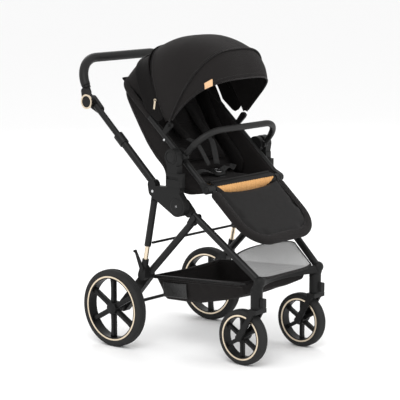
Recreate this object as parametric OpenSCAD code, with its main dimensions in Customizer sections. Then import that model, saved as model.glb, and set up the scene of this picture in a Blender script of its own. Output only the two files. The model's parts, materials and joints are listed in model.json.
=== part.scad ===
// Folding baby stroller with a reclining seat unit, extending canopy, basket and swivelling front wheels.
// Frame: origin on the ground at mid-length, X to the child's left, the stroller faces -Y, Z up. Millimetres.

/* [Wheels] */
// Rear wheel diameter
rear_wheel_d = 280; // [240:1:340]
// Front wheel diameter
front_wheel_d = 195; // [160:1:236]
// Rear tyre width
rear_tyre_w = 40; // [32:1:48]
// Front tyre width
front_tyre_w = 36; // [30:1:44]
// Height of the rear tyre section above its trim ring
rear_tyre_h = 23; // [18:1:28]
// Height of the front tyre section above its trim ring
front_tyre_h = 18; // [14:1:22]
// Radial width of the metallic trim rings
ring_w = 5.5; // [4:0.5:7]
// Axial depth of the metallic trim rings
ring_depth = 5; // [3:0.5:8]
// Diameter of the wheel axles
axle_d = 12; // [10:0.5:14]
// Distance between the rear wheel centres, side to side
rear_track = 533; // [515:1:640]
// Distance between the front wheel centres, side to side
front_track = 334; // [278:1:345]
// Distance between the front and rear axles
wheelbase = 513; // [428:1:616]

/* [Chassis] */
// Height of the main fold pivots
fold_pivot_z = 539; // [520:1:600]
// Distance of the main fold pivots ahead of the rear axle
fold_pivot_ahead = 289; // [270:1:300]
// Radius of the round end of the fold castings
fold_casting_r = 37; // [34:1:42]
// Diameter of the front leg tubes
front_leg_d = 25; // [22:0.5:27]
// Diameter of the rear arm tubes
rear_arm_d = 25; // [22:0.5:27]
// Diameter of the rear leg tubes
rear_leg_d = 24; // [22:0.5:26]
// Outer diameter of the upper tubes
upper_tube_d = 28; // [27:0.5:30]
// Diameter of the telescopic inner tubes
slide_tube_d = 22; // [20:0.5:23]
// Angle of the upper tubes above the ground
tube_angle = 42.4; // [38:0.1:46]
// Side offset of the upper tubes from the middle
tube_x = 240; // [239:1:246]
// Travel of each rear suspension strut
strut_travel = 8; // [5:1:12]
// Bore clearance of every pin and axle, on the radius
pin_gap = 0.05; // [0.02:0.01:0.1]
// Gap between faces that slide past each other
slip = 0.4; // [0.3:0.1:0.8]

/* [Handle] */
// Reach of the handlebar from its pivots to the middle of the grip
handle_reach = 163; // [136:1:196]
// Angle of the handlebar above the ground
handle_angle = 65; // [55:1:75]
// Diameter of the grip
grip_d = 34; // [30:1:38]
// Diameter of the handlebar tube
handle_tube_d = 24; // [20:1:26]
// Length of tube seen between the collars and the handle pivots
slide_out = 172; // [160:1:200]

/* [Seat] */
// Diameter of the seat frame tube
seat_tube_d = 20; // [18:0.5:21]
// Side offset of the seat frame tube from the middle
seat_tube_x = 200; // [199:1:202]
// Angle of the seat frame above the ground
seat_angle = 41.3; // [38:0.1:44]
// Length of the seat frame above its recline hubs
seat_back_len = 380; // [320:1:390]
// Length of the seat frame below its recline hubs
seat_front_len = 157; // [140:1:170]
// Thickness of the seat shell
shell_wall = 9; // [7:0.5:12]
// Length of the legrest
legrest_len = 245; // [204:1:260]
// Reach of the bumper bar
bumper_reach = 120; // [100:1:144]
// Diameter of the bumper bar with its sleeve
bumper_d = 23; // [20:1:25]

/* [Canopy] */
// Radius of the main canopy panel
canopy_r = 310; // [300:1:322]
// Thickness of the canopy panels
canopy_wall = 3; // [2:0.5:3.5]
// Corner radius of the canopy arch
canopy_bend = 75; // [50:1:95]

/* [Basket] */
// Half width of the basket
basket_half_w = 184; // [160:1:188]
// Depth of the basket below its rim
basket_depth = 84; // [60:1:90]
// Wall of the basket
basket_wall = 4; // [3:0.5:6]

/* [Hidden] */
$fn = 64;
left = 1;
right = -1;

// Places as [ahead of or behind the rear axle, height], seen from the side
handle_pivot_drop = 6;
tube_len = 425;
tube_lift = 12.6;
leg_pivot_reach = 118.7;
leg_pivot_turn = -21.7;
trail = 58;
post_d = 42;
post_low_z = front_wheel_d + 11;
post_top_z = post_low_z + 62;
leg_low_rise = post_top_z + 32;

function ray(angle, length) = length * [cos(angle), sin(angle)];
function aim(p, q) = atan2(q[1] - p[1], q[0] - p[0]);

// Offsets from the fold pivots, and the middle of the whole length
leg_pivot_offset = ray(tube_angle + leg_pivot_turn, leg_pivot_reach);
tube_offset = leg_pivot_offset + ray(tube_angle + 90, tube_lift);
handle_offset = tube_offset + ray(tube_angle, tube_len) + ray(tube_angle - 90, handle_pivot_drop);
handle_bend = 0.6 * handle_reach;
bumper_bend = 0.78 * bumper_reach;
rear_edge = handle_offset[0] - fold_pivot_ahead + handle_reach * cos(handle_angle) + grip_d / 2;
front_edge = -wheelbase - front_wheel_d / 2;
axle_y = -(rear_edge + front_edge) / 2;

function place(ahead, up) = [axle_y + ahead, up];

rear_axle = place(0, rear_wheel_d / 2);
front_axle = place(-wheelbase, front_wheel_d / 2);
swivel_y = front_axle[0] - trail;
fold_pivot = place(-fold_pivot_ahead, fold_pivot_z);
leg_low = [swivel_y - 12, leg_low_rise];
leg_angle = aim(fold_pivot, leg_low);
arm_pivot_along = 62;
arm_pivot_drop = (front_leg_d + rear_arm_d) / 2 + 1;
arm_pivot = fold_pivot + ray(leg_angle, arm_pivot_along) + ray(leg_angle + 90, arm_pivot_drop);
strut_pivot = rear_axle + [-116, 130];
leg_pivot = fold_pivot + leg_pivot_offset;
rear_leg_angle = aim(leg_pivot, strut_pivot);
rear_leg_len = norm(strut_pivot - leg_pivot);

tube_line = fold_pivot + tube_offset;
tube_low = tube_line + ray(tube_angle, 18);
handle_line = tube_line + ray(tube_angle, tube_len);
collar_top = handle_line - ray(tube_angle, slide_out);
handle_pivot = fold_pivot + handle_offset;

// Side to side layers of the chassis
casting_in = 232.3;
casting_out = 258;
lug_out = casting_in - slip;
lug_in = 206;
leg_x_top = lug_out - front_leg_d / 2 - 1;
leg_x_low = front_track / 2;
arm_x = 211.5;
foot_in = arm_x + rear_arm_d / 2 + slip;
foot_out = foot_in + 26;
foot_d = 24;
latch_in = tube_x + foot_d / 2 + slip;
latch_pivot = strut_pivot - ray(rear_leg_angle, 30);

// Distances back up the rear leg's line from the strut's pivot
strut_top_back = 150;
strut_low_back = 48;
foot_top_back = 62;
leg_end_back = 112;
strut_d = 16;
handle_split = tube_x + 3;
handle_out = handle_split + 19;

// Seat places
hub = fold_pivot + [22, 169];
hub_r = 29;
seat_line = hub + ray(seat_angle - 90, 8);
legrest_pivot = seat_line - ray(seat_angle, seat_front_len);
hub_in = seat_tube_x + seat_tube_d / 2 + 0.5;
hub_out = casting_in - slip;
bumper_pivot = hub + [-27, 0];
bumper_split = hub_in + 10;
bumper_x = hub_out - bumper_d / 2 - 1.4;
bumper_angle = seat_angle + 90;
shell_x = seat_tube_x - seat_tube_d / 2 - 1;
canopy_pivot = hub + [56, 101];
canopy_gap = 0.5;
// Canopy angles, counted back from straight ahead and over the top
visor_edge = 40;
visor_seam = 62;
canopy_back_seam = 131;
canopy_lap = 3;
canopy_back_edge = 152;
back_panel_from_r = 296;
eye_r = 18;
canopy_pin_r = 5;
main_half_w = hub_in + canopy_wall + 0.5;
clip_out = main_half_w - 2 * canopy_wall - canopy_gap - slip;
socket_low_z = fold_pivot_z + 66;
socket_h = 48;

// Seat shell profile, from its front edge under the seat and up the back, relative to the recline hubs
shell_outer = [for (p = [[-84, -128], [3, -139], [77, -118], [105, -61], [152, -16], [199, 44], [280, 173],
    [301, 228]]) hub + p];
shell_inner = [for (p = [[-110, -109], [-35, -118], [50, -111], [82, -62], [130, -8], [178, 52], [257, 180],
    [280, 240]]) hub + p];
pad_shift = [-8, 10];
strap_shift = [-3, 4];

// ---- helpers ----

module to_side(side) {
    if (side > 0) children();
    else mirror([1, 0, 0]) children();
}

module both_sides() {
    children();
    mirror([1, 0, 0]) children();
}

// A side outline given as [y, z], made solid from x = low to x = high
module slab(low, high) {
    translate([low, 0, 0])
        rotate([90, 0, 90])
            linear_extrude(height = high - low)
                children();
}

module pin(p, low, high, r) {
    slab(low, high)
        translate(p)
            circle(r = r);
}

module rod(p, q, d) {
    v = q - p;
    translate(p)
        rotate([0, acos(v[2] / norm(v)), atan2(v[1], v[0])])
            cylinder(h = norm(v), d = d);
}

// Two circles and their outer tangents
module link(p, rp, q, rq) {
    turn = acos((rp - rq) / norm(q - p));
    line = aim(p, q);
    translate(p) circle(r = rp);
    translate(q) circle(r = rq);
    polygon([
            p + ray(line + turn, rp), q + ray(line + turn, rq),
            q + ray(line - turn, rq), p + ray(line - turn, rp)
        ]);
}

module rounded_rect(w, h, r) {
    square([w - 2 * r, h], center = true);
    square([w, h - 2 * r], center = true);
    for (x = [-1, 1], y = [-1, 1])
        translate([x * (w / 2 - r), y * (h / 2 - r)])
            circle(r = r);
}

// A U of round bar in its own XY plane: legs along +Y from start, joined by rounded corners
module u_bar(half_w, start, reach, bend, d) {
    both_sides() {
        translate([half_w, start, 0])
            rotate([-90, 0, 0])
                cylinder(h = reach - bend - start, d = d);
        translate([half_w - bend, reach - bend, 0])
            rotate_extrude(angle = 90)
                translate([bend, 0])
                    circle(d = d);
    }
    translate([bend - half_w, reach, 0])
        rotate([0, 90, 0])
            cylinder(h = 2 * (half_w - bend), d = d);
}

// Puts a local XY plane at a side point, its Y axis at an angle above the ground
module tilted(p, angle) {
    translate([0, p[0], p[1]])
        rotate([angle, 0, 0])
            children();
}

module wheel_axis(x, p) {
    translate([x, p[0], p[1]])
        rotate([0, 90, 0])
            children();
}

// ---- wheels ----

module tyre(x, p, d, w, h) {
    crown = w * 0.6;
    color([0.07, 0.07, 0.075])
        wheel_axis(x, p)
            rotate_extrude()
                intersection() {
                    translate([d / 2 - crown, 0])
                        circle(r = crown);
                    translate([d / 2 - h, -w / 2])
                        square([h + 1, w]);
                }
}

module trim_ring(x, p, d, w, h) {
    color([0.80, 0.66, 0.45])
        wheel_axis(x, p)
            for (side = [-1, 1])
                translate([0, 0, side * (w - ring_depth) / 2 - ring_depth / 2])
                    difference() {
                        cylinder(h = ring_depth, r = d / 2 - h);
                        translate([0, 0, -1])
                            cylinder(h = ring_depth + 2, r = d / 2 - h - ring_w);
                    }
}

module rim(x, p, d, w, h, hub_radius, spoke_w) {
    seat_r = d / 2 - h;
    barrel_r = seat_r - ring_w;
    sleeve = 4;
    spoke_t = 13;
    color([0.09, 0.09, 0.095])
        difference() {
            wheel_axis(x, p) {
                rotate_extrude()
                    difference() {
                        union() {
                            translate([barrel_r - sleeve, -w / 2 + 1])
                                square([sleeve, w - 2]);
                            translate([barrel_r - sleeve, -w / 2 + ring_depth])
                                square([sleeve + ring_w, w - 2 * ring_depth]);
                        }
                        translate([seat_r + 10, 0])
                            circle(r = 12);
                    }
                translate([0, 0, -w / 2 + 2])
                    cylinder(h = w - 4, r = hub_radius);
                for (n = [0:5])
                    rotate(n * 60)
                        translate([0, -spoke_w / 2, sign(x) * 3 - spoke_t / 2])
                            cube([barrel_r - sleeve + 0.5, spoke_w, spoke_t]);
            }
            pin(p, x - w, x + w, axle_d / 2 + pin_gap);
        }
}

// ---- front frame ----

module front_leg(side) {
    low_end = leg_low - ray(leg_angle, 4);
    color([0.12, 0.12, 0.125])
        to_side(side) {
            rod([leg_x_top, fold_pivot[0], fold_pivot[1]], [leg_x_low, low_end[0], low_end[1]], front_leg_d);
            difference() {
                slab(lug_in, lug_out)
                    link(fold_pivot, 20, fold_pivot + ray(leg_angle, 38), 15);
                slab(lug_in - 1, lug_in + 3)
                    translate(fold_pivot)
                        circle(r = 9);
            }
            pin(fold_pivot, lug_out - 1, casting_out - 6, 8);
            pin(arm_pivot, arm_x - rear_arm_d / 2 - 6, arm_x + rear_arm_d / 2 + 6, 4);
            for (x = [arm_x - rear_arm_d / 2 - 6, arm_x + rear_arm_d / 2 + 1])
                slab(x, x + 5)
                    link(arm_pivot, 9, arm_pivot + ray(leg_angle - 90, arm_pivot_drop), 11);
        }
}

module front_bridge() {
    half = leg_x_low - 8;
    sag = 40;
    bow_r = (half * half + sag * sag) / (2 * sag);
    bow_angle = 2 * asin(half / bow_r);
    bridge_z = leg_low[1] - 8;
    color([0.12, 0.12, 0.125]) {
        both_sides()
            difference() {
                union() {
                    translate([leg_x_low, swivel_y, post_low_z])
                        cylinder(h = post_top_z - post_low_z, d = post_d);
                    rod([leg_x_low, swivel_y, post_top_z - 4], [leg_x_low, leg_low[0], leg_low[1]], post_d - 6);
                    translate([leg_x_low, leg_low[0], leg_low[1]])
                        sphere(d = post_d - 3);
                    translate([leg_x_low, swivel_y, post_top_z - 2])
                        sphere(d = post_d + 1);
                }
                translate([leg_x_low, swivel_y, post_low_z - 1])
                    cylinder(h = 46, r = 9 + pin_gap);
            }
        translate([0, leg_low[0] + sag - bow_r, bridge_z])
            rotate(90 - bow_angle / 2)
                rotate_extrude(angle = bow_angle)
                    translate([bow_r, 0])
                        rounded_rect(20, 30, 9);
    }
}

module footwell_mesh() {
    up = 125;
    x_low = leg_x_low - front_leg_d / 2 - 5;
    x_top = x_low + (leg_x_top - leg_x_low) * up / norm(leg_low - fold_pivot);
    color([0.55, 0.55, 0.56])
        tilted(leg_low, leg_angle + 180)
            translate([0, 30, -4])
                linear_extrude(height = 2.5)
                    polygon([[-x_low, 0], [x_low, 0], [x_top, up], [-x_top, up]]);
}

module basket_outline(inset) {
    rim_rear = rear_axle + [-114, 116];
    rim_front = leg_low + [62, -14];
    low = rim_rear[1] - basket_depth;
    polygon([
        rim_rear + [-inset, 0],
        [rim_rear[0] - 38 - inset * 0.6, low + inset],
        [rim_rear[0] - 180, low + 6 + inset],
        [rim_front[0] + 62 + inset * 0.3, post_low_z + 12 + inset],
        [rim_front[0] + inset, rim_front[1] - 38 + inset * 0.4],
        rim_front + [inset, 0]
    ]);
}

module basket() {
    open_over = 1;
    color([0.11, 0.11, 0.12])
        difference() {
            slab(-basket_half_w, basket_half_w)
                basket_outline(0);
            slab(basket_wall - basket_half_w, basket_half_w - basket_wall)
                translate([0, open_over])
                    basket_outline(basket_wall);
        }
}

module basket_rods() {
    rod_d = 5;
    front = leg_low + [46, -12];
    rear = rear_axle + [-122, 122];
    x = basket_half_w + rod_d / 2;
    color([0.10, 0.10, 0.10])
        both_sides()
            rod([x, rear[0], rear[1]], [x, front[0], front[1]], rod_d);
}

module front_fork(side) {
    crown_low = front_wheel_d - 5;
    crown_top = post_low_z - slip;
    arm_in = front_tyre_w / 2 + 3;
    arm_t = 9;
    crown_point = [swivel_y - 4, (crown_low + crown_top) / 2];
    crown_r = (crown_top - crown_low) / 2;
    color([0.11, 0.11, 0.115])
        to_side(side) {
            translate([leg_x_low - arm_in - arm_t, swivel_y - 20, crown_low])
                cube([2 * (arm_in + arm_t), 34, crown_top - crown_low]);
            translate([leg_x_low, swivel_y, crown_top - 1])
                cylinder(h = 42, r = 9);
            for (x = [leg_x_low - arm_in - arm_t, leg_x_low + arm_in])
                slab(x, x + arm_t)
                    link(crown_point, crown_r, front_axle, 12);
            pin(front_axle, leg_x_low - arm_in - 1, leg_x_low + arm_in + 1, axle_d / 2);
        }
}

module swivel_lock(side) {
    color([0.16, 0.16, 0.165])
        to_side(side)
            translate([leg_x_low, swivel_y - post_d / 2 - 1 - slip, post_low_z + 22])
                rotate([90, 0, 0])
                    linear_extrude(height = 12)
                        rounded_rect(20, 34, 6);
}

// ---- upper frame ----

// The slot in which the top of a rear leg swings
module tongue_slot() {
    slab(tube_x - 6, tube_x + 6)
        link(leg_pivot, 15.5, leg_pivot + ray(rear_leg_angle + 12, 60), 27);
}

module fold_casting(side) {
    socket_base = [hub[0] - 8, socket_low_z - 24];
    color([0.13, 0.13, 0.135])
        to_side(side)
            difference() {
                slab(casting_in, casting_out) {
                    link(fold_pivot, fold_casting_r, socket_base, 22);
                    link(fold_pivot, fold_casting_r, leg_pivot, 19);
                    link(socket_base, 22, leg_pivot, 19);
                    link(leg_pivot, 19, tube_low, 18);
                    translate([socket_base[0] - 28, socket_low_z - 20])
                        square([56, 20]);
                }
                tongue_slot();
                pin(fold_pivot, casting_in - 1, casting_out - 5, 8 + pin_gap);
                rod([tube_x, tube_line[0], tube_line[1]],
                    [tube_x, handle_line[0], handle_line[1]], upper_tube_d);
            }
    color([0.5, 0.5, 0.52])
        to_side(side)
            pin(leg_pivot, tube_x - 7, tube_x + 7, 5);
}

module upper_tube(side) {
    collar_len = 42;
    start = tube_line + ray(tube_angle, 2);
    collar_low = collar_top - ray(tube_angle, collar_len);
    color([0.12, 0.12, 0.125])
        to_side(side)
            difference() {
                union() {
                    rod([tube_x, start[0], start[1]], [tube_x, collar_top[0], collar_top[1]], upper_tube_d);
                    rod([tube_x, collar_low[0], collar_low[1]], [tube_x, collar_top[0], collar_top[1]],
                        upper_tube_d + 7);
                }
                rod([tube_x, start[0] - 2, start[1] - 2], [tube_x, handle_line[0], handle_line[1]],
                    slide_tube_d + 2 * slip);
                tongue_slot();
            }
}

module seat_socket(side) {
    mid_x = (casting_in + casting_out) / 2 + 2;
    color([0.15, 0.15, 0.155])
        to_side(side)
            difference() {
                translate([mid_x, hub[0] - 8, socket_low_z])
                    linear_extrude(height = socket_h)
                        rounded_rect(30, 74, 10);
                translate([mid_x, hub[0] - 8, socket_low_z + 8])
                    linear_extrude(height = socket_h)
                        rounded_rect(18 + 2 * slip, 40 + 2 * slip, 5);
                translate([mid_x + 11, hub[0] - 34, socket_low_z + 26])
                    cube([10, 52, 10]);
            }
}

module seat_adapter(side) {
    mid_x = (casting_in + casting_out) / 2 + 2;
    neck_z = socket_low_z + socket_h + 20;
    color([0.14, 0.14, 0.145])
        to_side(side) {
            difference() {
                slab(casting_in, casting_out + 4) {
                    link(hub, hub_r, [hub[0] - 4, neck_z], 19);
                    translate([hub[0] - 27, socket_low_z + socket_h + slip])
                        square([46, 24]);
                }
                pin(hub, casting_in - 1, casting_out - 4, 7 + pin_gap);
            }
            translate([mid_x, hub[0] - 8, socket_low_z + 10])
                linear_extrude(height = socket_h - 8)
                    rounded_rect(18, 40, 5);
        }
}

// ---- handle ----

module slide_tubes() {
    hidden = 140;
    low = collar_top - ray(tube_angle, hidden);
    top = handle_line - ray(tube_angle, 28);
    color([0.13, 0.13, 0.135])
        both_sides() {
            rod([tube_x, low[0], low[1]], [tube_x, top[0], top[1]], slide_tube_d);
            slab(tube_x - 13, handle_split - slip) {
                link(handle_pivot, 22, handle_line - ray(tube_angle, 46), 14);
            }
            pin(handle_pivot, handle_split - 2, handle_out - 11, 7);
        }
}

module handlebar() {
    color([0.13, 0.13, 0.135]) {
        tilted(handle_pivot, handle_angle)
            u_bar(tube_x, 30, handle_reach, handle_bend, handle_tube_d);
        both_sides()
            difference() {
                slab(handle_split, handle_out)
                    link(handle_pivot, 23, handle_pivot + ray(handle_angle, 40), 12);
                pin(handle_pivot, handle_split - 1, handle_out - 10, 7 + pin_gap);
                pin(handle_pivot, handle_out - 9, handle_out + 1, 19.5);
                tilted(handle_pivot, handle_angle)
                    translate([tube_x, 30, 0])
                        rotate([-90, 0, 0])
                            cylinder(h = 60, d = handle_tube_d);
            }
    }
}

module handle_grip() {
    color([0.10, 0.10, 0.10])
        difference() {
            tilted(handle_pivot, handle_angle)
                u_bar(tube_x, 58, handle_reach, handle_bend, grip_d);
            tilted(handle_pivot, handle_angle)
                u_bar(tube_x, 50, handle_reach, handle_bend, handle_tube_d);
        }
}

module handle_rings() {
    color([0.80, 0.66, 0.45])
        both_sides()
            difference() {
                pin(handle_pivot, handle_out, handle_out + 4, 26.5);
                pin(handle_pivot, handle_out - 1, handle_out + 5, 20.5);
            }
}

module handle_button(side) {
    color([0.17, 0.17, 0.175])
        to_side(side)
            pin(handle_pivot, handle_out - 5, handle_out + 3, 19);
}

// ---- rear frame ----

module rear_leg(side) {
    tube_top = leg_pivot + ray(rear_leg_angle, 34);
    tube_end = leg_pivot + ray(rear_leg_angle, rear_leg_len - leg_end_back);
    bore_start = leg_pivot + ray(rear_leg_angle, rear_leg_len - strut_top_back - 2 * strut_travel);
    color([0.12, 0.12, 0.125])
        to_side(side)
            difference() {
                union() {
                    rod([tube_x, tube_top[0], tube_top[1]], [tube_x, tube_end[0], tube_end[1]], rear_leg_d);
                    slab(tube_x - 6 + slip, tube_x + 6 - slip)
                        link(leg_pivot, 12, leg_pivot + ray(rear_leg_angle, 44), 11.5);
                }
                pin(leg_pivot, tube_x - 9, tube_x + 9, 5 + pin_gap);
                rod([tube_x, bore_start[0], bore_start[1]], [tube_x, tube_end[0] + 1, tube_end[1] - 5], strut_d + 1);
            }
}

module leg_crossbar() {
    bar = leg_pivot + ray(rear_leg_angle, rear_leg_len - leg_end_back - 14) + ray(rear_leg_angle - 90, 12);
    color([0.08, 0.08, 0.08]) {
        translate([0, bar[0], bar[1]])
            rotate([0, 90, 0])
                cylinder(h = 2 * (tube_x - 10), d = 9, center = true);
    }
}

module strut(side) {
    top = leg_pivot + ray(rear_leg_angle, rear_leg_len - strut_top_back);
    low = leg_pivot + ray(rear_leg_angle, rear_leg_len - strut_low_back);
    color([0.80, 0.66, 0.45])
        to_side(side)
            rod([tube_x, top[0], top[1]], [tube_x, low[0], low[1]], strut_d);
}

module strut_foot(side) {
    top = leg_pivot + ray(rear_leg_angle, rear_leg_len - foot_top_back);
    low = leg_pivot + ray(rear_leg_angle, rear_leg_len - 14);
    above = top - ray(rear_leg_angle, 5);
    seat = leg_pivot + ray(rear_leg_angle, rear_leg_len - strut_low_back);
    color([0.13, 0.13, 0.135])
        to_side(side)
            difference() {
                union() {
                    rod([tube_x, top[0], top[1]], [tube_x, low[0], low[1]], foot_d);
                    slab(foot_in, foot_out)
                        link(strut_pivot, 17, strut_pivot - ray(rear_leg_angle, 24), 14);
                }
                rod([tube_x, above[0], above[1]], [tube_x, seat[0], seat[1]], strut_d);
            }
    if (side < 0)
        color([0.5, 0.5, 0.52])
            to_side(side)
                pin(latch_pivot, latch_in - 3, latch_in + 5, 3);
}

module fold_latch() {
    tip = latch_pivot + [28, 58];
    color([0.09, 0.09, 0.09])
        mirror([1, 0, 0])
            difference() {
                union() {
                    slab(latch_in, latch_in + 5)
                        link(latch_pivot, 9, tip, 4);
                    pin(tip, latch_in, latch_in + 10, 5);
                }
                pin(latch_pivot, latch_in - 1, latch_in + 6, 3 + pin_gap);
            }
}

module rear_arm(side) {
    top = arm_pivot;
    color([0.12, 0.12, 0.125])
        to_side(side)
            difference() {
                union() {
                    rod([arm_x, top[0], top[1]], [arm_x, strut_pivot[0], strut_pivot[1]], rear_arm_d);
                    pin(top, arm_x - rear_arm_d / 2, arm_x + rear_arm_d / 2, rear_arm_d / 2);
                    slab(arm_x - rear_arm_d / 2, arm_x + rear_arm_d / 2) {
                        link(strut_pivot, 19, rear_axle, 21);
                    }
                    pin(rear_axle, arm_x + rear_arm_d / 2 - 1, rear_track / 2 - rear_tyre_w / 2 + 1, 15);
                }
                pin(top, arm_x - rear_arm_d, arm_x + rear_arm_d, 4 + pin_gap);
                pin(rear_axle, arm_x - rear_arm_d, arm_x + rear_tyre_w, axle_d / 2);
            }
}

module rear_axle_bar() {
    half = rear_track / 2 + rear_tyre_w / 2 - 3;
    color([0.20, 0.20, 0.21])
        pin(rear_axle, -half, half, axle_d / 2);
}

module brake_pedal() {
    pedal_x = 90;
    pedal_w = 56;
    color([0.15, 0.15, 0.155])
        difference() {
            union() {
                slab(pedal_x, pedal_x + pedal_w)
                    link(rear_axle, 13, rear_axle + [46, 20], 5);
                pin(rear_axle, pedal_x - 8, pedal_x + pedal_w + 8, 11);
            }
            pin(rear_axle, pedal_x - 9, pedal_x + pedal_w + 9, axle_d / 2 + pin_gap);
        }
}

// ---- seat ----

module seat_frame() {
    color([0.12, 0.12, 0.125]) {
        tilted(legrest_pivot, seat_angle)
            u_bar(seat_tube_x, 12, seat_back_len + seat_front_len, 60, seat_tube_d);
        both_sides()
            difference() {
                slab(seat_tube_x - seat_tube_d / 2, seat_tube_x + seat_tube_d / 2 - 1)
                    link(legrest_pivot, 15, legrest_pivot + ray(seat_angle, 26), 8);
                pin(legrest_pivot, seat_tube_x - seat_tube_d, seat_tube_x + 4, 5);
            }
    }
}

module seat_hubs() {
    color([0.14, 0.14, 0.145])
        both_sides() {
            pin(hub, seat_tube_x + 2, bumper_split - slip - 1, hub_r - 1);
            pin(hub, hub_in, hub_out, 14);
            slab(hub_in, bumper_split - slip)
                link(hub, 18, bumper_pivot, 12);
            slab(seat_tube_x - 2, clip_out)
                link(canopy_pivot, 12, canopy_pivot + [28, -32], 9);
            pin(legrest_pivot, seat_tube_x - 22, seat_tube_x + 4, 5);
            pin(hub, hub_out - 1, casting_out - 5, 7);
            pin(bumper_pivot, bumper_split - 1, hub_out - 3, 4);
            pin(canopy_pivot, clip_out - 1, main_half_w + 4, canopy_pin_r);
        }
}

module seat_shell() {
    cavity_top = hub + [-120, 330];
    color([0.13, 0.125, 0.125])
        difference() {
            slab(-shell_x, shell_x)
                polygon(concat(shell_outer,
                    [hub + [246, 230], seat_line + ray(seat_angle, 10), hub + [-84, -96]]));
            slab(shell_wall - shell_x, shell_x - shell_wall)
                polygon(concat(shell_inner, [hub + [280, 330], cavity_top, hub + [-200, -80]]));
        }
}

module seat_liner() {
    top = [for (n = [len(shell_inner) - 2:-1:1]) shell_inner[n] + pad_shift];
    path = [for (n = [1:len(shell_inner) - 2]) shell_inner[n]];
    roll = hub + [-98, -113];
    color([0.75, 0.55, 0.30]) {
        slab(-150, 150)
            polygon(concat(path, top));
        slab(-150, 150)
            intersection() {
                translate(roll)
                    circle(r = 14);
                translate(roll + [-16, -10])
                    square([29, 30]);
            }
    }
}

module harness() {
    from = 2;
    to = len(shell_inner) - 3;
    low = [for (n = [to:-1:from]) shell_inner[n] + pad_shift + [-0.2, 0.2]];
    high = [for (n = [from:to]) shell_inner[n] + pad_shift + strap_shift];
    buckle = hub + [10, -84];
    color([0.09, 0.09, 0.095]) {
        both_sides()
            slab(38, 78)
                polygon(concat(high, low));
        difference() {
            translate([0, buckle[0], buckle[1]])
                rotate([20, 0, 0])
                    linear_extrude(height = 16, center = true)
                        rounded_rect(62, 50, 12);
            translate([0, buckle[0], buckle[1]])
                rotate([20, 0, 0])
                    translate([0, 0, 2])
                        cylinder(h = 10, r = 12);
        }
    }
}

module buckle_button() {
    buckle = hub + [10, -84];
    color([0.35, 0.35, 0.36])
        translate([0, buckle[0], buckle[1]])
            rotate([20, 0, 0])
                translate([0, 0, 5])
                    cylinder(h = 5, r = 12 - slip);
}

module legrest_frame() {
    legrest_x = seat_tube_x - seat_tube_d / 2 - 10 - slip;
    color([0.12, 0.12, 0.125])
        difference() {
            union() {
                tilted(legrest_pivot, seat_angle + 180)
                    u_bar(legrest_x, 0, legrest_len, 95, 18);
                both_sides()
                    slab(legrest_x - 9, seat_tube_x - seat_tube_d / 2 - slip)
                        translate(legrest_pivot)
                            circle(r = 14);
            }
            both_sides()
                pin(legrest_pivot, legrest_x - 12, seat_tube_x, 5 + pin_gap);
        }
}

module legrest_pad() {
    half = seat_tube_x - seat_tube_d / 2 - 21;
    color([0.10, 0.10, 0.105])
        tilted(legrest_pivot, seat_angle + 180)
            linear_extrude(height = 18, center = true)
                intersection() {
                    translate([0, (legrest_len + 18) / 2])
                        square([2 * half, legrest_len - 38], center = true);
                    union() {
                        translate([-half, 0])
                            square([2 * half, legrest_len - 95]);
                        both_sides()
                            translate([half - 86, legrest_len - 95])
                                circle(r = 86);
                        translate([-half + 86, 0])
                            square([2 * half - 172, legrest_len - 9]);
                    }
                }
}

module bumper_bar() {
    color([0.09, 0.09, 0.09])
        difference() {
            union() {
                tilted(bumper_pivot, bumper_angle)
                    u_bar(bumper_x, 15, bumper_reach, bumper_bend, bumper_d);
                both_sides()
                    slab(bumper_split, hub_out - slip)
                        link(bumper_pivot, 11.5, bumper_pivot + ray(bumper_angle, 20), 10);
            }
            both_sides()
                pin(bumper_pivot, bumper_split - 1, hub_out + 1, 4 + pin_gap);
        }
}

// ---- canopy ----

module arch_profile(r, half_w, bend) {
    translate([0, -half_w])
        square([r - bend, 2 * half_w]);
    translate([0, bend - half_w])
        square([r, 2 * (half_w - bend)]);
    for (side = [-1, 1])
        translate([r - bend, side * (half_w - bend)])
            circle(r = bend);
}

// A panel from angle low to high, counted back from straight ahead and over the top
module canopy_panel(r, half_w, low, high, from_r) {
    translate([0, canopy_pivot[0], canopy_pivot[1]])
        rotate([180 - high, 0, 0])
            rotate([90, 0, 90])
                rotate_extrude(angle = high - low)
                    difference() {
                        arch_profile(r, half_w, canopy_bend);
                        arch_profile(r - canopy_wall, half_w - canopy_wall, canopy_bend - canopy_wall);
                        translate([0, -half_w - 1])
                            square([from_r, 2 * half_w + 2]);
                    }
}

module canopy_eyes(half_w) {
    both_sides()
        difference() {
            pin(canopy_pivot, half_w - canopy_wall + 0.2, half_w - 0.2, eye_r);
            pin(canopy_pivot, half_w - canopy_wall - 1, half_w + 1, canopy_pin_r + pin_gap);
        }
}

module canopy_rear() {
    layer = canopy_wall + canopy_gap;
    color([0.13, 0.125, 0.125])
        canopy_panel(canopy_r + layer, main_half_w + layer,
            canopy_back_seam - 1, canopy_back_edge, back_panel_from_r);
}

module canopy_main() {
    color([0.13, 0.125, 0.125]) {
        canopy_panel(canopy_r, main_half_w, visor_seam, canopy_back_seam + canopy_lap, eye_r - 4);
        canopy_eyes(main_half_w);
    }
}

module canopy_visor() {
    layer = canopy_wall + canopy_gap;
    color([0.13, 0.125, 0.125]) {
        canopy_panel(canopy_r - layer, main_half_w - layer, visor_edge, visor_seam + canopy_lap, eye_r - 4);
        canopy_eyes(main_half_w - layer);
    }
}

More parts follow.
